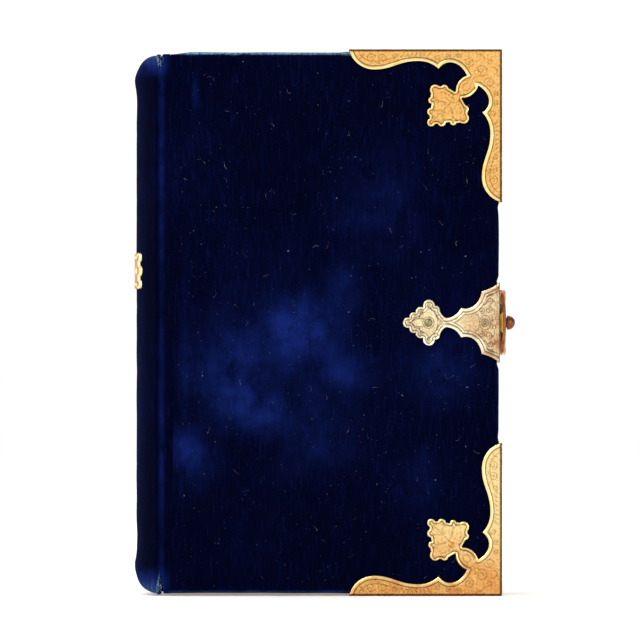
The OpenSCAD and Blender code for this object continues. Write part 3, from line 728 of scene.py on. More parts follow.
def corner_shape(high):
    """Heights of a corner mount."""
    cuts, veins = corner_engraving(), leaf_engraving()

    def shape(points, d):
        along = points @ np.linalg.inv(DIAGONAL) - [0, LEAF_ASIDE]
        on_leaf = (along[:, 0] > 10.9) & (np.abs(along[:, 1]) < 7) & (points.min(1) > 6.9)
        arm = rim_profile(d, 0.72, high)
        leaf = rim_profile(d, 0.42, high * 0.8)
        height, cut, field = (np.where(on_leaf, b, a) for a, b in zip(arm, leaf))
        line = 0.5 * grooves(points, cuts, 0.14, d, 1.15, 0.25)
        # A second line runs inside the border at the arms' ends
        nested = np.exp(-((d - 2.05) / 0.11) ** 2) * hump((points.max(1) - 27.5) / 1.5)
        line = np.maximum(line, 0.7 * nested) * hump((points.min(1) - 0.75) / 0.2)
        line = np.where(on_leaf, 0.5 * grooves(points, veins, 0.13, d, 0.35, 0.3), line)
        height = height + 0.06 * domes(along, LEAF_LOBES) * on_leaf
        bud = np.clip(1 - ((along[:, 0] - 13.3) / 2.6) ** 2 - (along[:, 1] / 1.9) ** 2, 0, 1)
        height = height + 0.2 * bud * on_leaf
        # Painted shade: a dark band along the folded outer edges, where the sheet turns over the board's edge
        # away from the light
        outer = hump((0.75 - points.min(1)) / 0.3) * ~on_leaf
        flat = np.column_stack([points, np.zeros(len(points))])
        height = height + 0.05 * field * waves(flat, 1.3, 4) + 0.035 * field * waves(flat, 0.8, 9)
        height = height - 0.08 * line - 0.03 * outer - folded(points[:, 0]) - folded(points[:, 1])
        # Dark mottle in the field: wear, and painted shade for the metal's uneven reflections
        worn = 0.3 * field * np.clip(waves(flat, 1.0, 5), 0, 1)
        return height, np.clip(cut + line + outer + worn, 0, 1), field

    return shape


# Clasp plates: drawn in from the fore-edge, and up from the middle
PLATE_HALF = 10.3
FLEUR = [(15.6, 3.4), (16.6, 4.1), (18.1, 4.9), (19.8, 3.8), (21.4, 2.6), (22.9, 1.5), (24.2, 0.0)]
FLEUR_LOBES = [(16.4, 3.25, 1.05), (18.15, 4.35, 1.5), (20.3, 2.75, 1.25), (22.0, 1.45, 1.2), (23.5, 0.0, 1.3)]


def plate_outlines():
    """The plate's waisted body and its fleur."""
    h = PLATE_HALF
    side = np.vstack([curve([[0, h], [1.5, h - 1.4], [3.2, h - 1.9], [4.6, h - 2.3]], 6),
                      curve([[4.6, h - 2.3], [5.2, 4.6], [7.4, 3.0], [9.9, 3.75]]),
                      curve([[9.9, 3.75], [10.6, 2.3], [12.0, 1.2], [13.6, 1.15]]),
                      curve([[13.6, 1.15], [14.4, 1.2], [15.0, 2.0], [15.6, 3.4]], 6), FLEUR])
    return [both_sides(side)] + [disc(*lobe) for lobe in both(FLEUR_LOBES)]


def plate_engraving():
    """The plate's oval flower, scrolls and petal lines."""
    u = 3.8                                         # the flower's middle
    lines = [disc(u, 0, 1.0, 30), disc(u, 0, 0.34, 14), disc(0, 0, 1.55, 34) * [0.92, 1.2] + [u, 0]]
    for a in np.arange(8) * math.pi / 4:
        c, s = math.cos(a), math.sin(a)
        lines.append(stroke(u + 0.36 * c, 0.4 * s, u + 0.95 * c, 0.95 * s, 0.25))
    for s in (-1, 1):
        lines += [scroll(2.9, 3.3 * s, 1.0, 90 * s, 1.4, s), scroll(4.7, 3.1 * s, 0.85, -90 * s, 1.3, -s),
                  scroll(2.6, 5.6 * s, 0.9, -90 * s, 1.3, -s), scroll(2.2, 7.2 * s, 0.55, 90 * s, 1.1, s)]
        for x, y, dx, dy in ((1.5, 2.1, 0.5, 1.4), (1.3, 4.4, 0.5, 1.2), (4.2, 4.6, -0.9, 1.2),
                             (3.4, 6.6, -0.6, 0.8), (5.4, 1.0, 0.8, 1.1), (1.5, 0.6, -0.3, 1.0),
                             (2.0, 0.5, 0.1, 0.9)):
            lines.append(stroke(x, y * s, x + dx, (y + dy) * s, 0.25 * s))
        lines += [stroke(15.9, 0.4 * s, 17.7, 3.6 * s, 0.1 * s), stroke(19.6, 1.0 * s, 22.6, 0.4 * s, 0.1 * s)]
        for x, y in ((15.9, 1.0), (15.9, 1.9), (16.2, 2.8), (20.6, 1.5)):
            lines.append(disc(x, y * s, 0.12, 8))
        lines += [disc(17.9, 4.4 * s, 0.7, 16), disc(20.2, 2.6 * s, 0.45, 12)]
    lines += [disc(23.5, 0, 0.55, 14), disc(18.3, 0, 1.45, 24)]
    return cut_points(lines)


def plate_shape(high):
    """Heights of a clasp plate."""
    cuts = plate_engraving()

    def shape(points, d):
        fleur = points[:, 0] > 14.6
        wide = np.where(fleur, 0.42, 0.68)
        height, cut, field = rim_profile(d, wide, high * 0.9)
        second = np.exp(-((d - wide - 0.5) / 0.13) ** 2) * hump((points[:, 0] - 0.5) / 0.4)
        third = 0.8 * np.exp(-((d - wide - 0.86) / 0.12) ** 2) * hump((points[:, 0] - 0.5) / 0.4)
        height = height + 0.09 * second - 0.05 * third
        line = grooves(points, cuts, 0.14, d - wide, 0.3, 0.25)
        # Painted shade: a dark line and a dark band at the fore-edge, where the plate bends down over the board
        edge = np.exp(-((points[:, 0] - 0.75) / 0.1) ** 2)
        height = height + 0.1 * domes(points, FLEUR_LOBES) * fleur
        flat = np.column_stack([points, np.zeros(len(points))])
        height = height + 0.04 * field * waves(flat, 1.1, 14) + 0.03 * field * waves(flat, 0.8, 19)
        height = height - 0.08 * line - 0.05 * edge - folded(points[:, 0], 0.4)
        shadow = cut + 0.8 * line + 0.6 * edge + third + 0.7 * hump((0.5 - points[:, 0]) / 0.3)
        # Dark mottle in the field: wear, and painted shade for the metal's uneven reflections
        shadow = shadow + 0.25 * field * np.clip(waves(flat, 1.0, 15), 0, 1)
        return height, np.clip(shadow, 0, 1), field * (1 - second * 0.9)

    return shape


def stamped(side_x, side_z, face, back):
    """Places a front plate: in from the outer side, in from or up from a height, and out of the cover."""
    def place(points, height):
        y = np.full(len(points), back) if height is None else face - height
        return np.column_stack([side_x - points[:, 0], y, side_z(points[:, 1])])
    return place


# ---------------------------------------------------------------- the pieces


class PRAYERBOOK_OT_stage(bpy.types.Operator):
    """Sets up the pale floor that rises into a backdrop all round, the soft lights and the camera."""

    bl_idname = "prayer_book.stage"
    bl_label = "Stage, lights and camera"

    def execute(self, context):
        s = context.scene.prayer_book_studio
        only()
        bpy.ops.mesh.primitive_circle_add(vertices=96, radius=FLOOR, fill_type="NGON", location=(0, 0, 0))
        floor = context.object
        floor.name = "backdrop"
        bpy.ops.object.mode_set(mode="EDIT")
        bpy.ops.mesh.select_mode(type="EDGE")
        bpy.ops.mesh.select_all(action="DESELECT")
        bpy.ops.mesh.select_non_manifold()
        radius = FLOOR
        for out, up in RIM:
            bpy.ops.mesh.extrude_edges_move(TRANSFORM_OT_translate={"value": (0, 0, up)})
            grow = (radius + out) / radius
            bpy.ops.transform.resize(value=(grow, grow, 1), center_override=(0, 0, 0))
            radius += out
        bpy.ops.object.mode_set(mode="OBJECT")
        settle(floor)
        smooth(floor, 60)
        # Matt white paper from a roll, with a faint tooth, lifted a little so that its horizon doesn't show
        mat, node, _, (tooth,) = started(
            "white_paper_roll", {"Roughness": 0.95, "Specular IOR Level": 0.1, "Emission Strength": 0.2,
                                 "Emission Color": linear("#FFFFFF")}, ((1.2, 1.2, 1.2), 3.0, 0.55))
        floor.data.materials.append(finished(mat, layered(node, linear("#F8F8F7"), (tooth, linear("#FCFCFB")))))

        world = bpy.data.worlds.new("studio")
        context.scene.world = world
        world.use_nodes = True
        world.node_tree.nodes.clear()
        node = partial(add, world.node_tree)
        way = node("SeparateXYZ", (node("TexCoord", out="Generated"),), None).outputs
        sky = layered(node, linear("#EEF0F3"), (node("MapRange", (way[2], -0.2, 0.9)), linear("#FFFFFF")))
        power = node("Math", (node("MapRange", (way[0], -0.9, 0.9, 1.4, 0.5)), s.daylight), **TIMES)
        node("OutputWorld", {"Surface": node("Background", {"Color": sky, "Strength": power})}, None)

        for name, at, size, share in LAMPS:
            lamp = bpy.data.lights.new(name, "AREA")
            lamp.size, lamp.energy = size, s.key * share
            obj = bpy.data.objects.new(name, lamp)
            context.scene.collection.objects.link(obj)
            obj.location = at
            obj.rotation_mode = "QUATERNION"
            obj.rotation_quaternion = (Vector((0, 0, 0.07)) - Vector(at)).to_track_quat("-Z", "Y")

        cam = bpy.data.cameras.new("camera")
        cam.lens, cam.sensor_width = s.lens, SENSOR
        cam.dof.use_dof = False
        eye = bpy.data.objects.new("camera", cam)
        context.scene.collection.objects.link(eye)
        eye.location = (EYE_X * MM, FRONT_Y * MM - s.across * s.lens / SENSOR, EYE_Z * MM)
        eye.rotation_euler = (math.pi / 2, 0, 0)
        cam.clip_start, cam.clip_end = 0.05, 20.0
        context.scene.camera = eye
        # Keeps the white ground white and the brass clear
        context.scene.view_settings.view_transform = "Standard"
        return {"FINISHED"}


def cover_cloth(s):
    """The velvet over the front board: a grid over the face, drawn round the edges and turned in."""
    r = s.edge_radius / MM
    lo, hi = COVER_LO, COVER_HI
    centre = (lo + hi) / 2
    size = (hi - lo) - 2 * r * np.array([1, 0, 1])
    only()
    bpy.ops.mesh.primitive_grid_add(
        x_subdivisions=64, y_subdivisions=104, size=1, rotation=(math.pi / 2, 0, 0),
        location=(centre[0] * MM, lo[1] * MM, centre[2] * MM))
    cloth = bpy.context.object
    cloth.scale = (size[0] * MM, size[2] * MM, 1)
    settle(cloth)
    bpy.ops.object.mode_set(mode="EDIT")
    bpy.ops.mesh.select_mode(type="EDGE")
    bpy.ops.mesh.select_all(action="DESELECT")
    bpy.ops.mesh.select_non_manifold()
    # Steps of the fold: how far in from the cover's edge, and how deep
    steps = [(r * (1 - math.sin(a)), r * (1 - math.cos(a))) for a in np.radians([18, 36, 54, 72, 90])]
    inner = 0.7                                     # radius of the fold inside the cover
    steps += [(inner * (1 - math.cos(a)), COVER_T - inner + inner * math.sin(a))
              for a in np.radians([0, 30, 60, 90])]
    steps += [(4.0, COVER_T), (8.0, COVER_T), (12.6, COVER_T)]
    now_in, now_deep = r, 0.0
    whole = hi - lo
    for to_in, to_deep in steps:
        bpy.ops.mesh.extrude_region_move(TRANSFORM_OT_translate={"value": (0, (to_deep - now_deep) * MM, 0)})
        grow = [(whole[k] - 2 * to_in) / (whole[k] - 2 * now_in) for k in (0, 2)]
        bpy.ops.transform.resize(value=(grow[0], 1, grow[1]), center_override=tuple(centre * MM))
        now_in, now_deep = to_in, to_deep
    bpy.ops.object.mode_set(mode="OBJECT")
    return cloth


def cap_fall(x, head):
    """How far the spine's velvet stops short of the cover's end, at each place across the spine."""
    wide, high = (3.9, 5.6) if head else (4.5, 5.2)
    line = cubic([[0, high], [0, high * 0.35], [wide * 0.35, 0.35], [wide, 0]], np.linspace(0, 1, 40))
    fall = np.interp(x - (SPINE_LO[0] - SWELL), line[:, 0], line[:, 1])
    # The V where the joint has split
    at, half, deep = (-42.6, 0.78, 3.2) if head else (-42.4, 0.85, 4.2)
    fall += deep * np.clip(1 - np.abs(x - at) / half, 0, 1)
    if head:
        fall += 0.55 * hump((COVER_LO[0] + 6.0 - x) / 6.0) + 0.4 * hump((-41.2 - x) / 2.0)
    return fall


def spine_cloth():
    """The velvet from the middle of the spine, down into the front joint and on to the cover's face."""
    shoulder = MID_Y - FRONT_Y - 0.6
    last = math.asin(shoulder / SPINE_R)
    turn = np.linspace(0, last * 0.965, 30)
    arc = np.array([(SPINE_CX - SPINE_R * math.cos(a), MID_Y - SPINE_R * math.sin(a)) for a in turn])
    end = arc[-1, 0]
    arc[:, 0] -= SWELL * (end - arc[:, 0]) / (end - arc[0, 0])
    y = FRONT_Y
    down = np.vstack([
        curve([arc[-1], (end + 0.25, y + 0.42), (end + 0.5, y + 0.4), (end + 0.75, y + 0.62)], 8)[1:],
        curve([(end + 0.75, y + 0.62), (end + 1.1, y + 0.95), (-42.5, y + 1.42), (GROOVE_X, y + 1.42)], 9),
        curve([(GROOVE_X, y + 1.42), (-41.3, y + 1.42), (-40.9, y + 0.5), (-39.9, y + 0.2)], 14),
        curve([(-39.9, y + 0.2), (-39.3, y + 0.02), (-38.7, y - 0.03), (-37.8, y - 0.03)], 8),
        [(-37.8, y - 0.03), (-37.2, y - 0.03), (-36.6, y - 0.02), (-36.2, y + 0.02)]])
    profile = np.vstack([arc, down])
    inward = np.array([SPINE_CX, MID_Y]) - profile
    inward /= np.linalg.norm(inward, axis=1)[:, None]
    flat = hump((profile[:, 0] - end) / 1.6)[:, None]
    inward = inward * (1 - flat) + np.array([0, 1]) * flat
    inward /= np.linalg.norm(inward, axis=1)[:, None]
    foot = SPINE_LO[2] + cap_fall(profile[:, 0], False)
    top = SPINE_HI[2] - cap_fall(profile[:, 0], True)
    r = 1.15
    bend = [(r * (1 - math.sin(a)), r * (1 - math.cos(a))) for a in np.radians([15, 30, 45, 60, 75, 90])]
    bend += [(0.08, r + 0.5), (0.5, r + 0.85)]      # in from the end, and in from the surface
    rows = [(foot + short, deep) for short, deep in reversed(bend)]
    rows += [((foot + r) * (1 - k) + (top - r) * k, 0) for k in np.linspace(0, 1, 96)]
    rows += [(top - short, deep) for short, deep in bend]
    points = np.vstack([np.column_stack([profile + inward * deep, z]) for z, deep in rows])
    n = len(profile)
    faces = [(k * n + c, k * n + c + 1, (k + 1) * n + c + 1, (k + 1) * n + c)
             for k in range(len(rows) - 1) for c in range(n - 1)]
    return from_points("front_spine_velvet", points, faces)


def split_shade_lining():
    """Velvet behind the two splits of the front joint: a dark sheet that paints the shade inside them."""
    xs, n = np.linspace(-43.9, -40.6, 12), 12
    shapes = []
    for low, high in ((SPINE_LO[2] + 0.5, SPINE_LO[2] + 8), (SPINE_HI[2] - 8, SPINE_HI[2] - 1.4)):
        zs = np.linspace(low, high, 10)
        verts = np.array([(x, FRONT_Y + 2.15 - 0.35 * math.cos((x + 42.25) * 0.9), z) for z in zs for x in xs])
        faces = [(k, k + 1, k + n + 1, k + n) for r in range(len(zs) - 1) for k in range(r * n, r * n + n - 1)]
        shapes.append((verts, faces))
    return many("split_shade_lining", shapes)


def soften_velvet(obj, seed):
    """Gives the front velvet its soft swelling, and draws it in where it is worn or pressed."""
    p = places(obj)
    cover = p[:, 0] > COVER_LO[0] - 0.01
    far = np.abs(p[:, 2] - MID_Z)
    # The fore-edge draws in between the mounts, and most where the clasp's plates press on it
    edge = hump((p[:, 0] - (COVER_HI[0] - 2.2)) / 2.2) * cover
    pressed = hump((12.4 - far) / 1.7)
    retreat = 0.25 * hump((COVER_HALF - ARM + 0.6 - far) / 1.2) + 0.3 * np.exp(-((far - 30.5) / 2.0) ** 2)
    retreat = np.maximum(retreat, 0.66 * pressed) + 0.07 * waves(p, 9, seed)
    p[:, 0] -= edge * retreat * hump((COVER_HALF - ARM + 1.2 - far) / 1.0)
    # Head and tail edges wander a little, and the board's corner by the joint slopes away
    ends = hump((far - (COVER_HALF - 1.6)) / 1.6)
    slope = hump((COVER_LO[0] + 6.0 - p[:, 0]) / 6.0) * cover * 0.55 * (p[:, 2] > MID_Z)
    free = hump((COVER_HI[0] - ARM - p[:, 0]) / 2.0)
    p[:, 2] -= np.sign(p[:, 2] - MID_Z) * ends * (slope + free * cover * (0.12 + 0.1 * waves(p, 13, seed + 1)))
    # The face is slightly uneven, flat under the mounts
    face = hump((FRONT_Y + 0.9 - p[:, 1]) / 0.9)
    clear = hump((42.0 - np.abs(p[:, 0] - 3)) / 6)
    p[:, 1] += face * clear * (0.05 + 0.05 * waves(p, 16, seed + 2))
    # The spine swells a little below its caps and has shallow dents
    spine = ~cover & (p[:, 0] < SPINE_END)
    bulge = 0.45 * np.exp(-((far - 62.5) / 2.4) ** 2) - 0.12 * np.exp(-((far - 56) / 5.0) ** 2)
    out = (p[:, :2] - [SPINE_CX, MID_Y]) / SPINE_R
    p[:, :2] += out * (spine * (bulge + 0.1 * waves(p * [0.3, 0.3, 1], 12, seed + 3)))[:, None]
    move_to(obj, p)


def wear_velvet(obj, patches, seed):
    """Stores where the pile is rubbed and where the ground shows, together with painted sheen: the lighter velvet
    along the cover's head and tail edges, down the joint and along the spine's outer edge.
    """
    p = places(obj)
    x, y, z = p.T
    far = np.abs(z - MID_Z)
    bare_board = COVER_HI[0] - ARM                  # the corner mounts begin here
    rubbed_and_sheen = 0.07 * np.clip(waves(p, 34, seed) + 0.1, 0, 1)
    for at_x, at_z, wide, high, much in patches:
        rubbed_and_sheen += much * np.exp(-((x - at_x) / wide) ** 2 - ((z - at_z) / high) ** 2) * (x > -39)
    # Painted sheen with the rubbing: the lighter velvet along the head and tail edges (end) and down the joint
    # (joint) stands in for the pile's sheen, while the caps and the fore-edge are rubbed
    end = hump((far - (COVER_HALF - 1.3)) / 1.3) * (x < bare_board)
    joint = np.exp(-((x - GROOVE_X) / 0.8) ** 2) * (0.75 + 0.35 * waves(p, 22, seed + 1))
    cap = hump((far - 62.0) / 5.0) * hump((-39.0 - x) / 3.2)
    fore = hump((x - (COVER_HI[0] - 1.3)) / 1.3)
    rubbed_and_sheen += 0.9 * end + 0.5 * np.clip(joint, 0, 1) + 0.95 * cap + 0.35 * fore
    # The ground shows at the lips of the joints' splits. The pale ragged rim along the head edge, much fainter
    # along the tail, is worn ground and painted sheen where the pile at the top edge catches the light
    ragged = COVER_HALF - 0.85 + 0.2 * waves(p, 5, seed + 4)
    bare = hump((far - ragged) / 0.45) * (x < bare_board + 1) * np.where(z > MID_Z, 1, 0.08)
    bare *= (0.75 + 0.3 * waves(p, 17, seed + 5)) * hump((FRONT_Y + 1.35 - y) / 0.9)
    lips = np.abs(x + 42.5) - 0.8 * hump((far - 64.5) / 4)
    split = np.exp(-(lips / 0.16) ** 2) * hump((far - 64.6) / 1.6)
    shallow = hump((FRONT_Y + 1.5 - y) / 0.5)
    by_joint = hump((x + 43.9) / 0.7)
    bare += 0.85 * split * (x < -41) * shallow
    bare += 0.16 * hump((far - 65.5) / 3.5) * (x < -42.9) * (1 - by_joint * (1 - shallow))
    # Inside the splits the pile is left unrubbed, and kept dark as painted shade in their hollows
    rubbed_and_sheen *= 1 - 0.92 * hump((y - FRONT_Y - 1.3) / 0.5) * hump((far - 62) / 4) * by_joint
    # Painted sheen: a lighter band along the spine's outer edge
    rubbed_and_sheen += 0.1 * hump((SPINE_LO[0] + 2.5 - x) / 2.5)
    give(obj, "rubbed_and_sheen", np.clip(rubbed_and_sheen, 0, 1))
    give(obj, "bare", np.clip(bare, 0, 1))


# Rubbed patches: place across and up, half width and half height, and how much
FRONT_PATCHES = [(-6.5, 69.0, 8.0, 6.5, 0.95), (-22, 50.5, 7.0, 6.0, 0.62), (-35, 36, 6.0, 6.5, 0.62),
                 (5, 58, 6.0, 5.0, 0.5), (30, 57, 6.5, 6.5, 0.4), (5, 78, 4.0, 6.0, 0.35),
                 (-26, 60, 8.0, 8.0, 0.4), (14, 99, 9.0, 9.0, 0.14), (-16, 46, 5.0, 5.0, 0.45),
                 (-3, 40, 10.0, 9.0, 0.25), (24, 30, 9.0, 9.0, 0.16), (-12, 60, 16.0, 12.0, 0.25),
                 (-33.2, 128.5, 0.5, 4.5, 0.4), (-36, 60, 1.2, 22.0, 0.2)]
BACK_PATCHES = [(6, 64, 9.0, 8.0, 0.7), (-18, 92, 8.0, 8.0, 0.35), (22, 40, 8.0, 9.0, 0.35),
                (-28, 30, 7.0, 8.0, 0.4)]


class PRAYERBOOK_OT_velvet(bpy.types.Operator):
    """Covers both boards, both joints and the spine in velvet."""

    bl_idname = "prayer_book.velvet"
    bl_label = "Velvet"

    def execute(self, context):
        s = context.scene.prayer_book_velvet
        front = joined("front_velvet_cloth", [cover_cloth(s), spine_cloth(), split_shade_lining()])
        back = mirrored(front, "back_velvet_cloth", 1, MID_Y)
        for obj, patches, seed in ((front, FRONT_PATCHES, 3), (back, BACK_PATCHES, 11)):
            if obj is back:
                to_back(obj)                        # worn as if it were the front, and then put back
            soften_velvet(obj, seed)
            wear_velvet(obj, patches, seed)
            if obj is back:
                to_back(obj)
            face_cloth(obj)
            thick = obj.modifiers.new("thickness", "SOLIDIFY")
            thick.thickness, thick.offset = 0.32 * MM, -1
            apply_all(obj)
            smooth(obj, 70)
            finish_in(obj, "velvet")
        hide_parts("front_velvet", "spine_velvet")
        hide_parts("back_velvet")
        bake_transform(front)
        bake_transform(back)
        return {"FINISHED"}


def face_cloth(obj):
    """Turns the faces of each loose part of the cloth away from the middle of the book or of its board."""
    mesh = bmesh.new()
    mesh.from_mesh(obj.data)
    bmesh.ops.recalc_face_normals(mesh, faces=mesh.faces)
    seen = set()
    for first in mesh.faces:
        if first in seen:
            continue
        part, queue = [], [first]
        seen.add(first)
        while queue:
            f = queue.pop()
            part.append(f)
            more = {g for e in f.edges for g in e.link_faces} - seen
            seen |= more
            queue += more
        middle = sum((f.calc_center_median() * f.calc_area() for f in part), Vector())
        middle /= sum(f.calc_area() for f in part)
        spine = middle.x / MM < COVER_LO[0] - 0.5
        if spine:
            middle = Vector((SPINE_CX * MM, MID_Y * MM, MID_Z * MM))
        side = 0.0
        for f in part:
            way = f.calc_center_median() - middle
            way.z = 0 if spine else way.z
            side += way.dot(f.normal) * f.calc_area()
        if side < 0:
            bmesh.ops.reverse_faces(mesh, faces=part)
    mesh.to_mesh(obj.data)
    mesh.free()
    obj.data.update()


def thread(points, radius, sides=4):
    """Points and faces of a thin closed tube along a line."""
    points = np.array(points, float)
    ways = np.gradient(points, axis=0)
    ways /= np.linalg.norm(ways, axis=1)[:, None] + 1e-12
    side = np.cross(ways, [0.31, 0.22, 0.92])
    side /= np.linalg.norm(side, axis=1)[:, None] + 1e-12
    other = np.cross(ways, side)
    taper = np.linspace(1, 0.45, len(points))[:, None]
    rings = [points + taper * radius * (math.cos(a) * side + math.sin(a) * other)
             for a in np.arange(sides) * 2 * math.pi / sides]
    verts = np.stack(rings, axis=1).reshape(-1, 3)
    last = (len(points) - 1) * sides
    faces = [(r + c, r + (c + 1) % sides, r + sides + (c + 1) % sides, r + sides + c)
             for r in range(0, last, sides) for c in range(sides)]
    faces += [tuple(range(sides))[::-1], tuple(range(last, last + sides))]
    return verts, faces


def many(name, shapes):
    """One piece made of many small shapes."""
    verts, faces, start = [], [], 0
    for v, f in shapes:
        verts.append(v)
        faces += [tuple(i + start for i in face) for face in f]
        start += len(v)
    return outward(from_points(name, np.vstack(verts), faces))


class PRAYERBOOK_OT_frayed_ends(bpy.types.Operator):
    """Adds the loose silk fibres where the velvet has split at the head and tail of the joints."""

    bl_idname = "prayer_book.frayed_ends"
    bl_label = "Frayed ends of the joints"

    def execute(self, context):
        rng = np.random.default_rng(21)
        for side in ("front", "back"):
            shapes = []
            for end in (1, -1):
                tip = SPINE_HI[2] if end > 0 else SPINE_LO[2]
                for k in range(30):
                    left = k % 3 != 0
                    x = -42.55 + (-1 if left else 0.55) * rng.uniform(0.12, 0.75)
                    down = rng.uniform(1.7 if end > 0 else 0.7, 4.2) * (1 - 0.3 * abs(x + 42.55))
                    start = np.array([x, FRONT_Y + rng.uniform(0.5, 1.2), tip - end * down])
                    way = np.array([rng.normal(0, 0.35), rng.uniform(-0.35, -0.02),
                                    end * rng.uniform(0.35, 1.0)])
                    length = rng.uniform(0.3, 0.95)
                    t = np.linspace(0, 1, 6)[:, None]
                    bend = rng.normal(0, 0.3, 3) * [1, 0.5, 0.5]
                    shapes.append(thread(start + way * length * t + bend * t * t, rng.uniform(0.028, 0.055)))
            obj = many(side + "_frayed_silk", shapes)
            if side == "back":
                to_back(obj)
                outward(obj)
            finish_in(obj, "frayed_silk")
            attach(obj, "text_block")
        return {"FINISHED"}


class PRAYERBOOK_OT_lint(bpy.types.Operator):
    """Scatters the dust specks and short hairs that cling to the pile of the covers."""

    bl_idname = "prayer_book.lint"
    bl_label = "Lint on the velvet"

    def execute(self, context):
        s = context.scene.prayer_book_velvet
        keep_off = corner_outlines()
        for side, count, seed in (("front", s.specks, 5), ("back", s.specks // 2, 8)):
            rng = np.random.default_rng(seed)
            shapes = []
            while len(shapes) < count:
                x = rng.uniform(COVER_LO[0] + 2, COVER_HI[0] - 2)
                z = rng.uniform(COVER_LO[2] + 2, COVER_HI[2] - 2)
                at_mount = np.array([[CORNER_HI[0] - x, CORNER_HI[2] - MID_Z - abs(z - MID_Z)]])
                if in_any(keep_off, at_mount)[0] or (x > 20 and abs(z - MID_Z) < 6):
                    continue
                if len(shapes) % 12:
                    a = rng.uniform(0, math.pi)
                    half = rng.uniform(0.02, 0.075) * (2.0 if rng.uniform() > 0.94 else 1)
                    way = np.array([math.cos(a), 0, math.sin(a)]) * half * rng.uniform(0.6, 1.8)
                    base = np.array([x, FRONT_Y, z])
                    shapes.append(thread([base - way, base + [0, -0.03, 0], base + way], half * 0.6, 5))
                else:
                    a = rng.normal(math.pi / 2, 0.7)
                    length = rng.uniform(0.6, 2.0)
                    t = np.linspace(0, 1, 7)[:, None]
                    way = np.array([math.cos(a), 0, math.sin(a)]) * length
                    bend = np.array([math.sin(a), 0, -math.cos(a)]) * rng.normal(0, 0.35) * length
                    shapes.append(thread([x, FRONT_Y - 0.02, z] + way * t + bend * t * (1 - t) * 2, 0.019, 3))
            obj = many(side + "_lint", shapes)
            if side == "back":
                to_back(obj)
                outward(obj)
            finish_in(obj, "lint")
            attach(obj, side + "_cover")
        return {"FINISHED"}


class PRAYERBOOK_OT_corner_mounts(bpy.types.Operator):
    """Makes the four pierced and engraved corner mounts, folded over the boards' edges."""

    bl_idname = "prayer_book.corner_mounts"
    bl_label = "Corner mounts"

    def execute(self, context):
        s = context.scene.prayer_book_metal
        right, top = CORNER_HI[0], CORNER_HI[2]
        place = stamped(right, lambda q: top - q, FRONT_Y - SHEET, FRONT_Y)
        face = relief_plate("corner_face", corner_outlines(), corner_shape(s.relief / MM), place,
                            s.spacing / MM, folds=2)
        inner = FRONT_Y + COVER_T
        outer = FRONT_Y - 0.3
        side = bar("corner_side", (right - SHEET, outer, top - ARM), (right - 0.02, inner + 0.28, top - 0.02))
        end = bar("corner_end", (right - ARM, outer, top - SHEET), (right - 0.03, inner + 0.27, top - 0.02))
        lip_end, lip = ARM - 6, 2.2
        near, far = SHEET - 0.1, SHEET + lip
        lip_ring = [(near, near), (lip_end, near), (lip_end - lip, far), (far, far), (far, lip_end - lip),
                     (near, lip_end)]
        ring = [(right - p, top - q) for p, q in lip_ring]
        low, high = inner + 0.02, inner + 0.29
        lips = from_points("corner_lip", [(x, low, z) for x, z in ring] + [(x, high, z) for x, z in ring],
                           [(0, 1, 2, 3), (0, 3, 4, 5), (6, 9, 8, 7), (6, 11, 10, 9)]
                           + [(k, (k + 1) % 6, (k + 1) % 6 + 6, k + 6) for k in range(6)])
        outward(lips)
        # Painted shade: the side and end walls, seen edge-on, are darkened with the dark cut colour
        for wall in (side, end, lips):
            give(wall, "cut", np.full(len(wall.data.vertices), 0.3))
        mount = smooth(joined("front_head_corner_mount", [face, side, end, lips]), 40)
        tail = mirrored(mount, "front_tail_corner_mount", 2, MID_Z)
        pieces = {"front_head_corner": mount, "front_tail_corner": tail,
                  "back_head_corner": mirrored(mount, "back_head_corner_mount", 1, MID_Y),
                  "back_tail_corner": mirrored(tail, "back_tail_corner_mount", 1, MID_Y)}
        for node, obj in pieces.items():
            finish_in(obj, "gilt")
            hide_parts(node)
            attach(obj, node.split("_")[0] + "_cover")
        return {"FINISHED"}


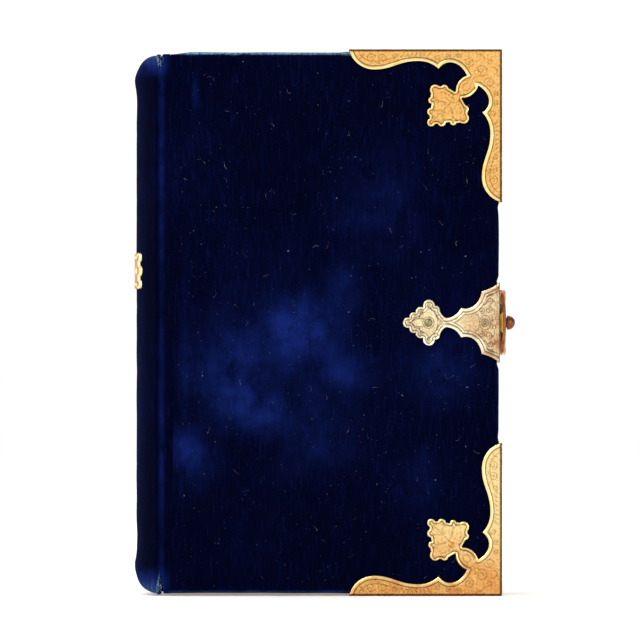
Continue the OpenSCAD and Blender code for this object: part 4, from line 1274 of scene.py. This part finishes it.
class PRAYERBOOK_OT_clasp_plates(bpy.types.Operator):
    """Makes the engraved catch plate with its slot, and the hinged anchor plate on the back cover."""

    bl_idname = "prayer_book.clasp_plates"
    bl_label = "Clasp plates"

    def execute(self, context):
        s = context.scene.prayer_book_metal
        right = PLATE_HI[0]
        place = stamped(right, lambda h: MID_Z + h, FRONT_Y - SHEET, FRONT_Y)
        face = relief_plate("plate_face", plate_outlines(), plate_shape(s.relief / MM), place,
                            s.spacing / MM, folds=1)
        back_face = mirrored(face, "anchor_face", 1, MID_Y)
        lo = (right - SHEET, FRONT_Y - 0.3, MID_Z - PLATE_HALF + 0.05)
        hi = (right - 0.02, FRONT_Y + COVER_T - 0.02, MID_Z + PLATE_HALF - 0.05)
        wall = bar("plate_wall", lo, hi)
        anchor_wall = mirrored(wall, "anchor_wall", 1, MID_Y)
        slot_y = FRONT_Y + 1.9
        slot = bar("slot", (right - 1.4, slot_y - 0.75, MID_Z - 2.9), (right + 0.5, slot_y + 0.75, MID_Z + 2.9),
                   0.1)
        cut = wall.modifiers.new("slot", "BOOLEAN")
        cut.object, cut.operation, cut.solver = slot, "DIFFERENCE", "EXACT"
        apply_all(wall)
        bpy.data.objects.remove(slot)
        catch = smooth(joined("catch_plate_engraved", [face, wall]), 40)

        knuckle = HASP_HI[0] - PIN_X
        parts = [back_face, anchor_wall]
        for s_z in (-1, 1):
            z = MID_Z + s_z * 5.925
            parts.append(rod("knuckle", (PIN_X, PIN_Y, z), knuckle, 1.97))
            parts.append(bar("web", (right - SHEET + 0.05, PIN_Y - 0.6 * knuckle, z - 1.93),
                             (PIN_X, PIN_Y + 0.6 * knuckle, z + 1.93)))
        anchor = smooth(joined("anchor_plate_engraved", parts), 40)
        for obj, node, body in ((catch, "catch_plate", "front_cover"), (anchor, "anchor_plate", "back_cover")):
            finish_in(obj, "pale")
            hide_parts(node)
            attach(obj, body)
        return {"FINISHED"}


def hasp_outline(length):
    """Half the hasp's outline, from its knuckle to its tip."""
    e = length
    return np.vstack([
        [[0.2, 3.7]],
        curve([[1.7, 3.8], [2.6, 4.0], [2.4, 7.9], [4.6, 7.9]], 8),
        curve([[4.6, 7.9], [8.0, 7.3], [8.5, 4.6], [e / 2, 4.6]]),
        curve([[e / 2, 4.6], [e - 9.0, 4.6], [e - 8.6, 6.7], [e - 6.0, 7.9]]),
        curve([[e - 6.0, 7.9], [e - 4.4, 8.0], [e - 3.6, 6.6], [e - 3.4, 5.4]], 6),
        curve([[e - 3.4, 5.4], [e - 1.4, 5.3], [e - 0.9, 2.4], [e, 0]], 8), [[e, 0]]])


class PRAYERBOOK_OT_hasp(bpy.types.Operator):
    """Makes the bowed and engraved hasp with its knuckle, and turns its thumb knob."""

    bl_idname = "prayer_book.hasp"
    bl_label = "Hasp and thumb knob"

    def execute(self, context):
        s = context.scene.prayer_book_metal
        out = PLATE_HI[0] + 1.6                     # the crown of its bow
        length = PIN_Y - HASP_LO[1]
        bow_r = (7.9 ** 2 + 0.6 ** 2) / 1.2         # bowed 0.6 mm over a half width of 7.9 mm
        knob_s = PIN_Y - KNOB_MIDDLE[1]
        cuts = []
        for h in (-1, 1):
            cuts += [scroll(length - 6.4, 4.3 * h, 1.4, 90 * h, 1.4, h),
                     scroll(5.2, 5.0 * h, 1.3, -90 * h, 1.4, -h),
                     scroll(8.6, 2.2 * h, 1.2, 90 * h, 1.3, h), scroll(12.4, 2.0 * h, 1.2, -90 * h, 1.3, -h),
                     stroke(10.4, 0.6 * h, 11.6, 3.0 * h, 0.2 * h),
                     stroke(15.2, 0.8 * h, 16.4, 2.6 * h, 0.2 * h),
                     stroke(length - 3.9, 2.8 * h, length - 2.2, 2.4 * h, 0.2 * h)]
        cuts.append(disc(knob_s, 0, 2.5, 30))
        cuts = cut_points(cuts, 0.1)

        def shape(points, d):
            height, cut, field = rim_profile(d, 0.6, s.relief / MM * 0.8)
            line = grooves(points, cuts, 0.15, d, 0.8, 0.3)
            return height - 0.08 * line, np.clip(cut + line, 0, 1) * 0.8, field

        def place(points, height):
            bow = bow_r - np.sqrt(bow_r ** 2 - points[:, 1] ** 2)
            rise = -0.7 if height is None else height - 0.04
            return np.column_stack([out - bow + rise, PIN_Y - points[:, 0], MID_Z + points[:, 1]])

        face = relief_plate("hasp_face", [both_sides(hasp_outline(length))], shape, place,
                            s.spacing / MM * 1.15)
        knuckle = rod("hasp_knuckle", (PIN_X, PIN_Y, MID_Z), HASP_HI[0] - PIN_X, 3.78)
        hasp = smooth(joined("hasp_engraved", [face, knuckle]), 40)
        finish_in(hasp, "copper")
        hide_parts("hasp")
        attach(hasp, "hasp")

        # Collar, neck and ball, turned on a lathe
        y, ball = KNOB_MIDDLE[1], 1.85
        centre = KNOB_HI[0] - ball
        line = [(out - 0.2, 0.0), (out - 0.2, 1.35), (out + 0.12, 1.4), (out + 0.26, 1.25), (out + 0.34, 1.12)]
        first = math.pi - math.acos(min(1, (centre - out - 0.36) / ball))
        line += [(centre + ball * math.cos(a), max(ball * math.sin(a), 0.0)) for a in np.linspace(first, 0, 20)]
        knob = from_points("thumb_knob_turned", [(x, y, MID_Z + r) for x, r in line], [])
        knob.data.edges.add(len(line) - 1)
        for k in range(len(line) - 1):
            knob.data.edges[k].vertices = (k, k + 1)
        knob.data.update()
        only(knob)
        bpy.ops.object.mode_set(mode="EDIT")
        bpy.ops.mesh.select_all(action="SELECT")
        bpy.ops.mesh.spin(steps=44, angle=2 * math.pi, center=(0, y * MM, MID_Z * MM), axis=(1, 0, 0))
        bpy.ops.mesh.select_all(action="SELECT")
        bpy.ops.mesh.remove_doubles(threshold=0.004 * MM)
        bpy.ops.mesh.normals_make_consistent(inside=False)
        bpy.ops.object.mode_set(mode="OBJECT")
        smooth(knob, 40)
        finish_in(knob, "knob")
        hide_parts("thumb_knob")
        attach(knob, "hasp")
        return {"FINISHED"}


class PRAYERBOOK_OT_spine_plaque(bpy.types.Operator):
    """Makes the curved plaque on the spine, with a plain scrolled cartouche."""

    bl_idname = "prayer_book.spine_plaque"
    bl_label = "Spine plaque"

    def execute(self, context):
        s = context.scene.prayer_book_metal
        w, h = PLAQUE_HI[1] - PLAQUE_LO[1], PLAQUE_HI[2] - PLAQUE_LO[2]
        middle = (PLAQUE_LO + PLAQUE_HI) / 2
        half = [w / 2 - 1.4, h / 2 - 1]
        outlines = [np.array([(-1, -1), (1, -1), (1, 1), (-1, 1)]) * half]
        for a in (-1, 1):
            outlines += [disc(a * (w / 2 - 1.6), b * (h / 2 - 1.25), 1.25) for b in (-1, 1)]
            outlines += [disc(a * (w / 2 - 1.5), 0, 1.5), disc(0, a * (h / 2 - 1.5), 1.5)]
        cuts = [disc(0, 0, 1.5, 30) * [1.6, 1.15], disc(0, 0, 0.5, 14)]
        for k in range(8):
            c, d = math.cos(k * math.pi / 4), math.sin(k * math.pi / 4)
            cuts.append(stroke(0.6 * c, 0.6 * d, 1.5 * c, 1.2 * d, 0.25))
        for a in (-1, 1):
            for b in (-1, 1):
                cuts += [scroll(4.2 * a, 1.9 * b, 1.0, 90, 1.3, a * b),
                         scroll(6.5 * a, 2.6 * b, 0.7, -90, 1.2, -a * b)]
        cuts = cut_points(cuts, 0.1)

        def shape(points, d):
            height, cut, field = rim_profile(d, 0.6, s.relief / MM * 0.9)
            line = grooves(points, cuts, 0.15, d, 0.8, 0.3)
            return height - 0.08 * line, np.clip(cut + line, 0, 1), field

        def place(points, height):
            r = SPINE_R if height is None else SPINE_R + SHEET - 0.05 + height
            x = SPINE_CX - np.sqrt(r * r - points[:, 0] ** 2)
            x -= SWELL * 0.97 * (1 - (points[:, 0] / 13.5) ** 2)
            return np.column_stack([x, middle[1] + points[:, 0], middle[2] + points[:, 1]])

        parts = [relief_plate("spine_label", outlines, shape, place, s.spacing / MM)]
        for a in (-1, 1):
            only()
            face = place(np.array([[5.4 * a, 0.0]]), np.array([0.02]))[0]
            bpy.ops.mesh.primitive_uv_sphere_add(
                segments=24, ring_count=12, radius=0.78 * MM, location=face * MM)
            head = bpy.context.object
            head.scale = (0.45, 1, 1)
            parts.append(smooth(settle(head), 60))
        plaque = joined("spine_plaque_engraved", parts)
        finish_in(plaque, "plaque")
        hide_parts("spine_plaque", "plaque_nails")
        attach(plaque, "text_block")
        return {"FINISHED"}


def leaf_back(y):
    """Where the rounded backs of the leaves lie, at that distance from the middle of the book."""
    return SPINE_CX - math.sqrt(LEAF_R ** 2 - y ** 2)


def sheets(name, node, thick, uneven, seed, bend_at=None):
    """A bundle of leaves as separate sheets, rounded at the back and hollow at the fore-edge. Leaves that turn
    have more rows of points where they bend."""
    rng = np.random.default_rng(seed)
    lo, hi = corners(node)
    count = max(1, round((hi[1] - lo[1]) / thick))
    step = (hi[1] - lo[1]) / count
    shapes = []
    for k in range(count):
        y0, y1 = lo[1] + k * step + 0.012, lo[1] + (k + 1) * step - 0.012
        mid = (y0 + y1) / 2 - MID_Y
        back = leaf_back(mid) + 0.06
        fore = leaf_back(mid) + PAGE - uneven * abs(rng.normal(0, 0.8))
        top = hi[2] - uneven * 0.7 * abs(rng.normal(0, 0.8))
        foot = lo[2] + uneven * 0.7 * abs(rng.normal(0, 0.8))
        xs = np.array([back, fore]) if bend_at is None else np.concatenate(
            [np.linspace(back, back + bend_at + 1, 22), np.linspace(back + bend_at + 1, fore, 8)[1:]])
        cs = np.array([(x, y, z) for x in xs for y, z in ((y0, foot), (y1, foot), (y1, top), (y0, top))])
        n = len(xs)
        faces = [(4 * r + c, 4 * r + (c + 1) % 4, 4 * r + 4 + (c + 1) % 4, 4 * r + 4 + c)
                 for r in range(n - 1) for c in range(4)]
        faces += [(3, 2, 1, 0), (4 * n - 4, 4 * n - 3, 4 * n - 2, 4 * n - 1)]
        shapes.append((cs, faces))
    obj = many(name, shapes)
    finish_in(obj, "leaf", "gilt_edge")
    for face in obj.data.polygons:
        face.material_index = 0 if abs(face.normal.y) > 0.6 else 1
    return obj


class PRAYERBOOK_OT_leaves(bpy.types.Operator):
    """Makes the sewn gatherings and the bundles that turn, sheet by sheet."""

    bl_idname = "prayer_book.leaves"
    bl_label = "Leaves"

    def execute(self, context):
        s = context.scene.prayer_book_paper
        thick, uneven = s.sheet / MM, s.uneven / MM
        names = sorted(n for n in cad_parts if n.startswith("gathering_"))
        for k, node in enumerate(names):
            obj = sheets(node + "_sheets", node, thick, uneven, 40 + k)
            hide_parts(node)
            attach(obj, "text_block")
        bundles = sorted(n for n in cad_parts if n.startswith("leaves_")) + ["front_flyleaf"]
        for k, node in enumerate(bundles):
            obj = sheets(node + "_sheets", node, thick, uneven, 60 + k, bend_at=4.0)
            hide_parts(node)
            if k == 0:
                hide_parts("sewn_folds")
            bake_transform(obj)
        return {"FINISHED"}


class PRAYERBOOK_OT_finishes(bpy.types.Operator):
    """Gives the pieces that keep the frame's own shape their finishes."""

    bl_idname = "prayer_book.finishes"
    bl_label = "Finishes of the inner pieces, nails and rivets"

    def execute(self, context):
        chosen = {
            "front_board": "board", "back_board": "board", "spine_liner": "board",
            "front_pastedown": "endpaper", "back_pastedown": "endpaper", "back_flyleaf": "endpaper",
            "spine_mull": "mull", "sewing_cords": "cord", "head_band": "band", "tail_band": "band",
            "front_corner_nails": "nail", "back_corner_nails": "nail",
            "catch_rivet": "rivet", "anchor_rivet": "rivet", "hinge_pin": "pale", "latch_spring": "spring",
        }
        for name, finish in chosen.items():
            finish_in(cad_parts[name], finish)
        return {"FINISHED"}


class PRAYERBOOK_OT_materials(bpy.types.Operator):
    """Mixes every finish that the pieces share."""

    bl_idname = "prayer_book.materials"
    bl_label = "Materials"

    def execute(self, context):
        m = context.scene.prayer_book_metal
        FINISH["velvet"] = silk_velvet(context.scene.prayer_book_velvet)
        # Name, polished rim, field, tarnish and painted shade, roughness, wear along an axis in metres, and
        # colour near the tail
        for key, *brass in (
                ("gilt", "gilt_brass", "#FBDD96", m.gilt, "#C98A3F", 0.24, ("#CC7B3C", 2, 0.016, -0.004),
                 "#F6DFA2"),
                ("nail", "nail_brass", "#D9A257", m.gilt, "#A8702F", 0.3),
                ("plaque", "plaque_brass", "#FDEBB4", m.gilt, "#CF9A50", 0.26),
                ("pale", "pale_gilt_brass", "#FBF2D0", m.pale, "#B58E58", 0.24, ("#A9683A", 0, 0.034, 0.0446)),
                ("copper", "copper_brass", "#A5673F", m.copper, "#6E3018", 0.28),
                ("knob", "knob_brass", "#7E4A32", m.copper, "#3E2014", 0.3),
                ("rivet", "rivet_brass", "#8F8562", m.pale, "#6A6040", 0.3),
                ("spring", "spring_brass", "#C9A558", m.pale, "#A07C3C", 0.32)):
            FINISH[key] = engraved_brass(*brass)
        FINISH.update({
            "board": millboard(),
            "endpaper": aged_paper("endpaper", "#E7DDC5", "#DCCFB0"),
            "leaf": aged_paper("leaf_paper", "#EDE4CE", "#E3D7BB"),
            "gilt_edge": gilt_edge(),
            "mull": open_cloth(),
            "cord": twisted_thread("hemp_cord", "#D9CBA6", "#A8946A", 0.8),
            "band": twisted_thread("silk_band", "#E8DFC8", "#27366E", 1.6),
            "frayed_silk": loose_fibre("frayed_silk", "#A9C4DC", "#2F4F88"),
            "lint": loose_fibre("lint", "#9A989E", "#333A50"),
        })
        return {"FINISHED"}


class PRAYERBOOK_PT_panel(bpy.types.Panel):
    """Lists the pieces of the prayer book in the sidebar."""

    bl_label = "Prayer Book"
    bl_idname = "PRAYERBOOK_PT_panel"
    bl_space_type = "VIEW_3D"
    bl_region_type = "UI"
    bl_category = "Prayer Book"

    def draw(self, context):
        scene = context.scene
        for title, group in (("Velvet", scene.prayer_book_velvet), ("Metal", scene.prayer_book_metal),
                             ("Paper", scene.prayer_book_paper), ("Studio", scene.prayer_book_studio)):
            box = self.layout.box()
            box.label(text=title)
            for key in group.__annotations__:
                box.prop(group, key)
        for step in STEPS:
            self.layout.operator(step.bl_idname)


STEPS = (
    PRAYERBOOK_OT_stage,
    PRAYERBOOK_OT_materials,
    PRAYERBOOK_OT_velvet,
    PRAYERBOOK_OT_frayed_ends,
    PRAYERBOOK_OT_lint,
    PRAYERBOOK_OT_corner_mounts,
    PRAYERBOOK_OT_clasp_plates,
    PRAYERBOOK_OT_hasp,
    PRAYERBOOK_OT_spine_plaque,
    PRAYERBOOK_OT_leaves,
    PRAYERBOOK_OT_finishes,
)
GROUPS = {
    "prayer_book_velvet": VelvetSettings,
    "prayer_book_metal": MetalSettings,
    "prayer_book_paper": PaperSettings,
    "prayer_book_studio": StudioSettings,
}


def register():
    for cls in (*GROUPS.values(), *STEPS, PRAYERBOOK_PT_panel):
        bpy.utils.register_class(cls)
    for name, group in GROUPS.items():
        setattr(bpy.types.Scene, name, PointerProperty(type=group))


def unregister():
    for name in GROUPS:
        delattr(bpy.types.Scene, name)
    for cls in reversed((*GROUPS.values(), *STEPS, PRAYERBOOK_PT_panel)):
        bpy.utils.unregister_class(cls)


def main():
    """Makes the whole book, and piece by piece."""
    register()
    for step in STEPS:
        space, call = step.bl_idname.split(".")
        getattr(getattr(bpy.ops, space), call)()
    only()


if __name__ == "__main__":
    main()
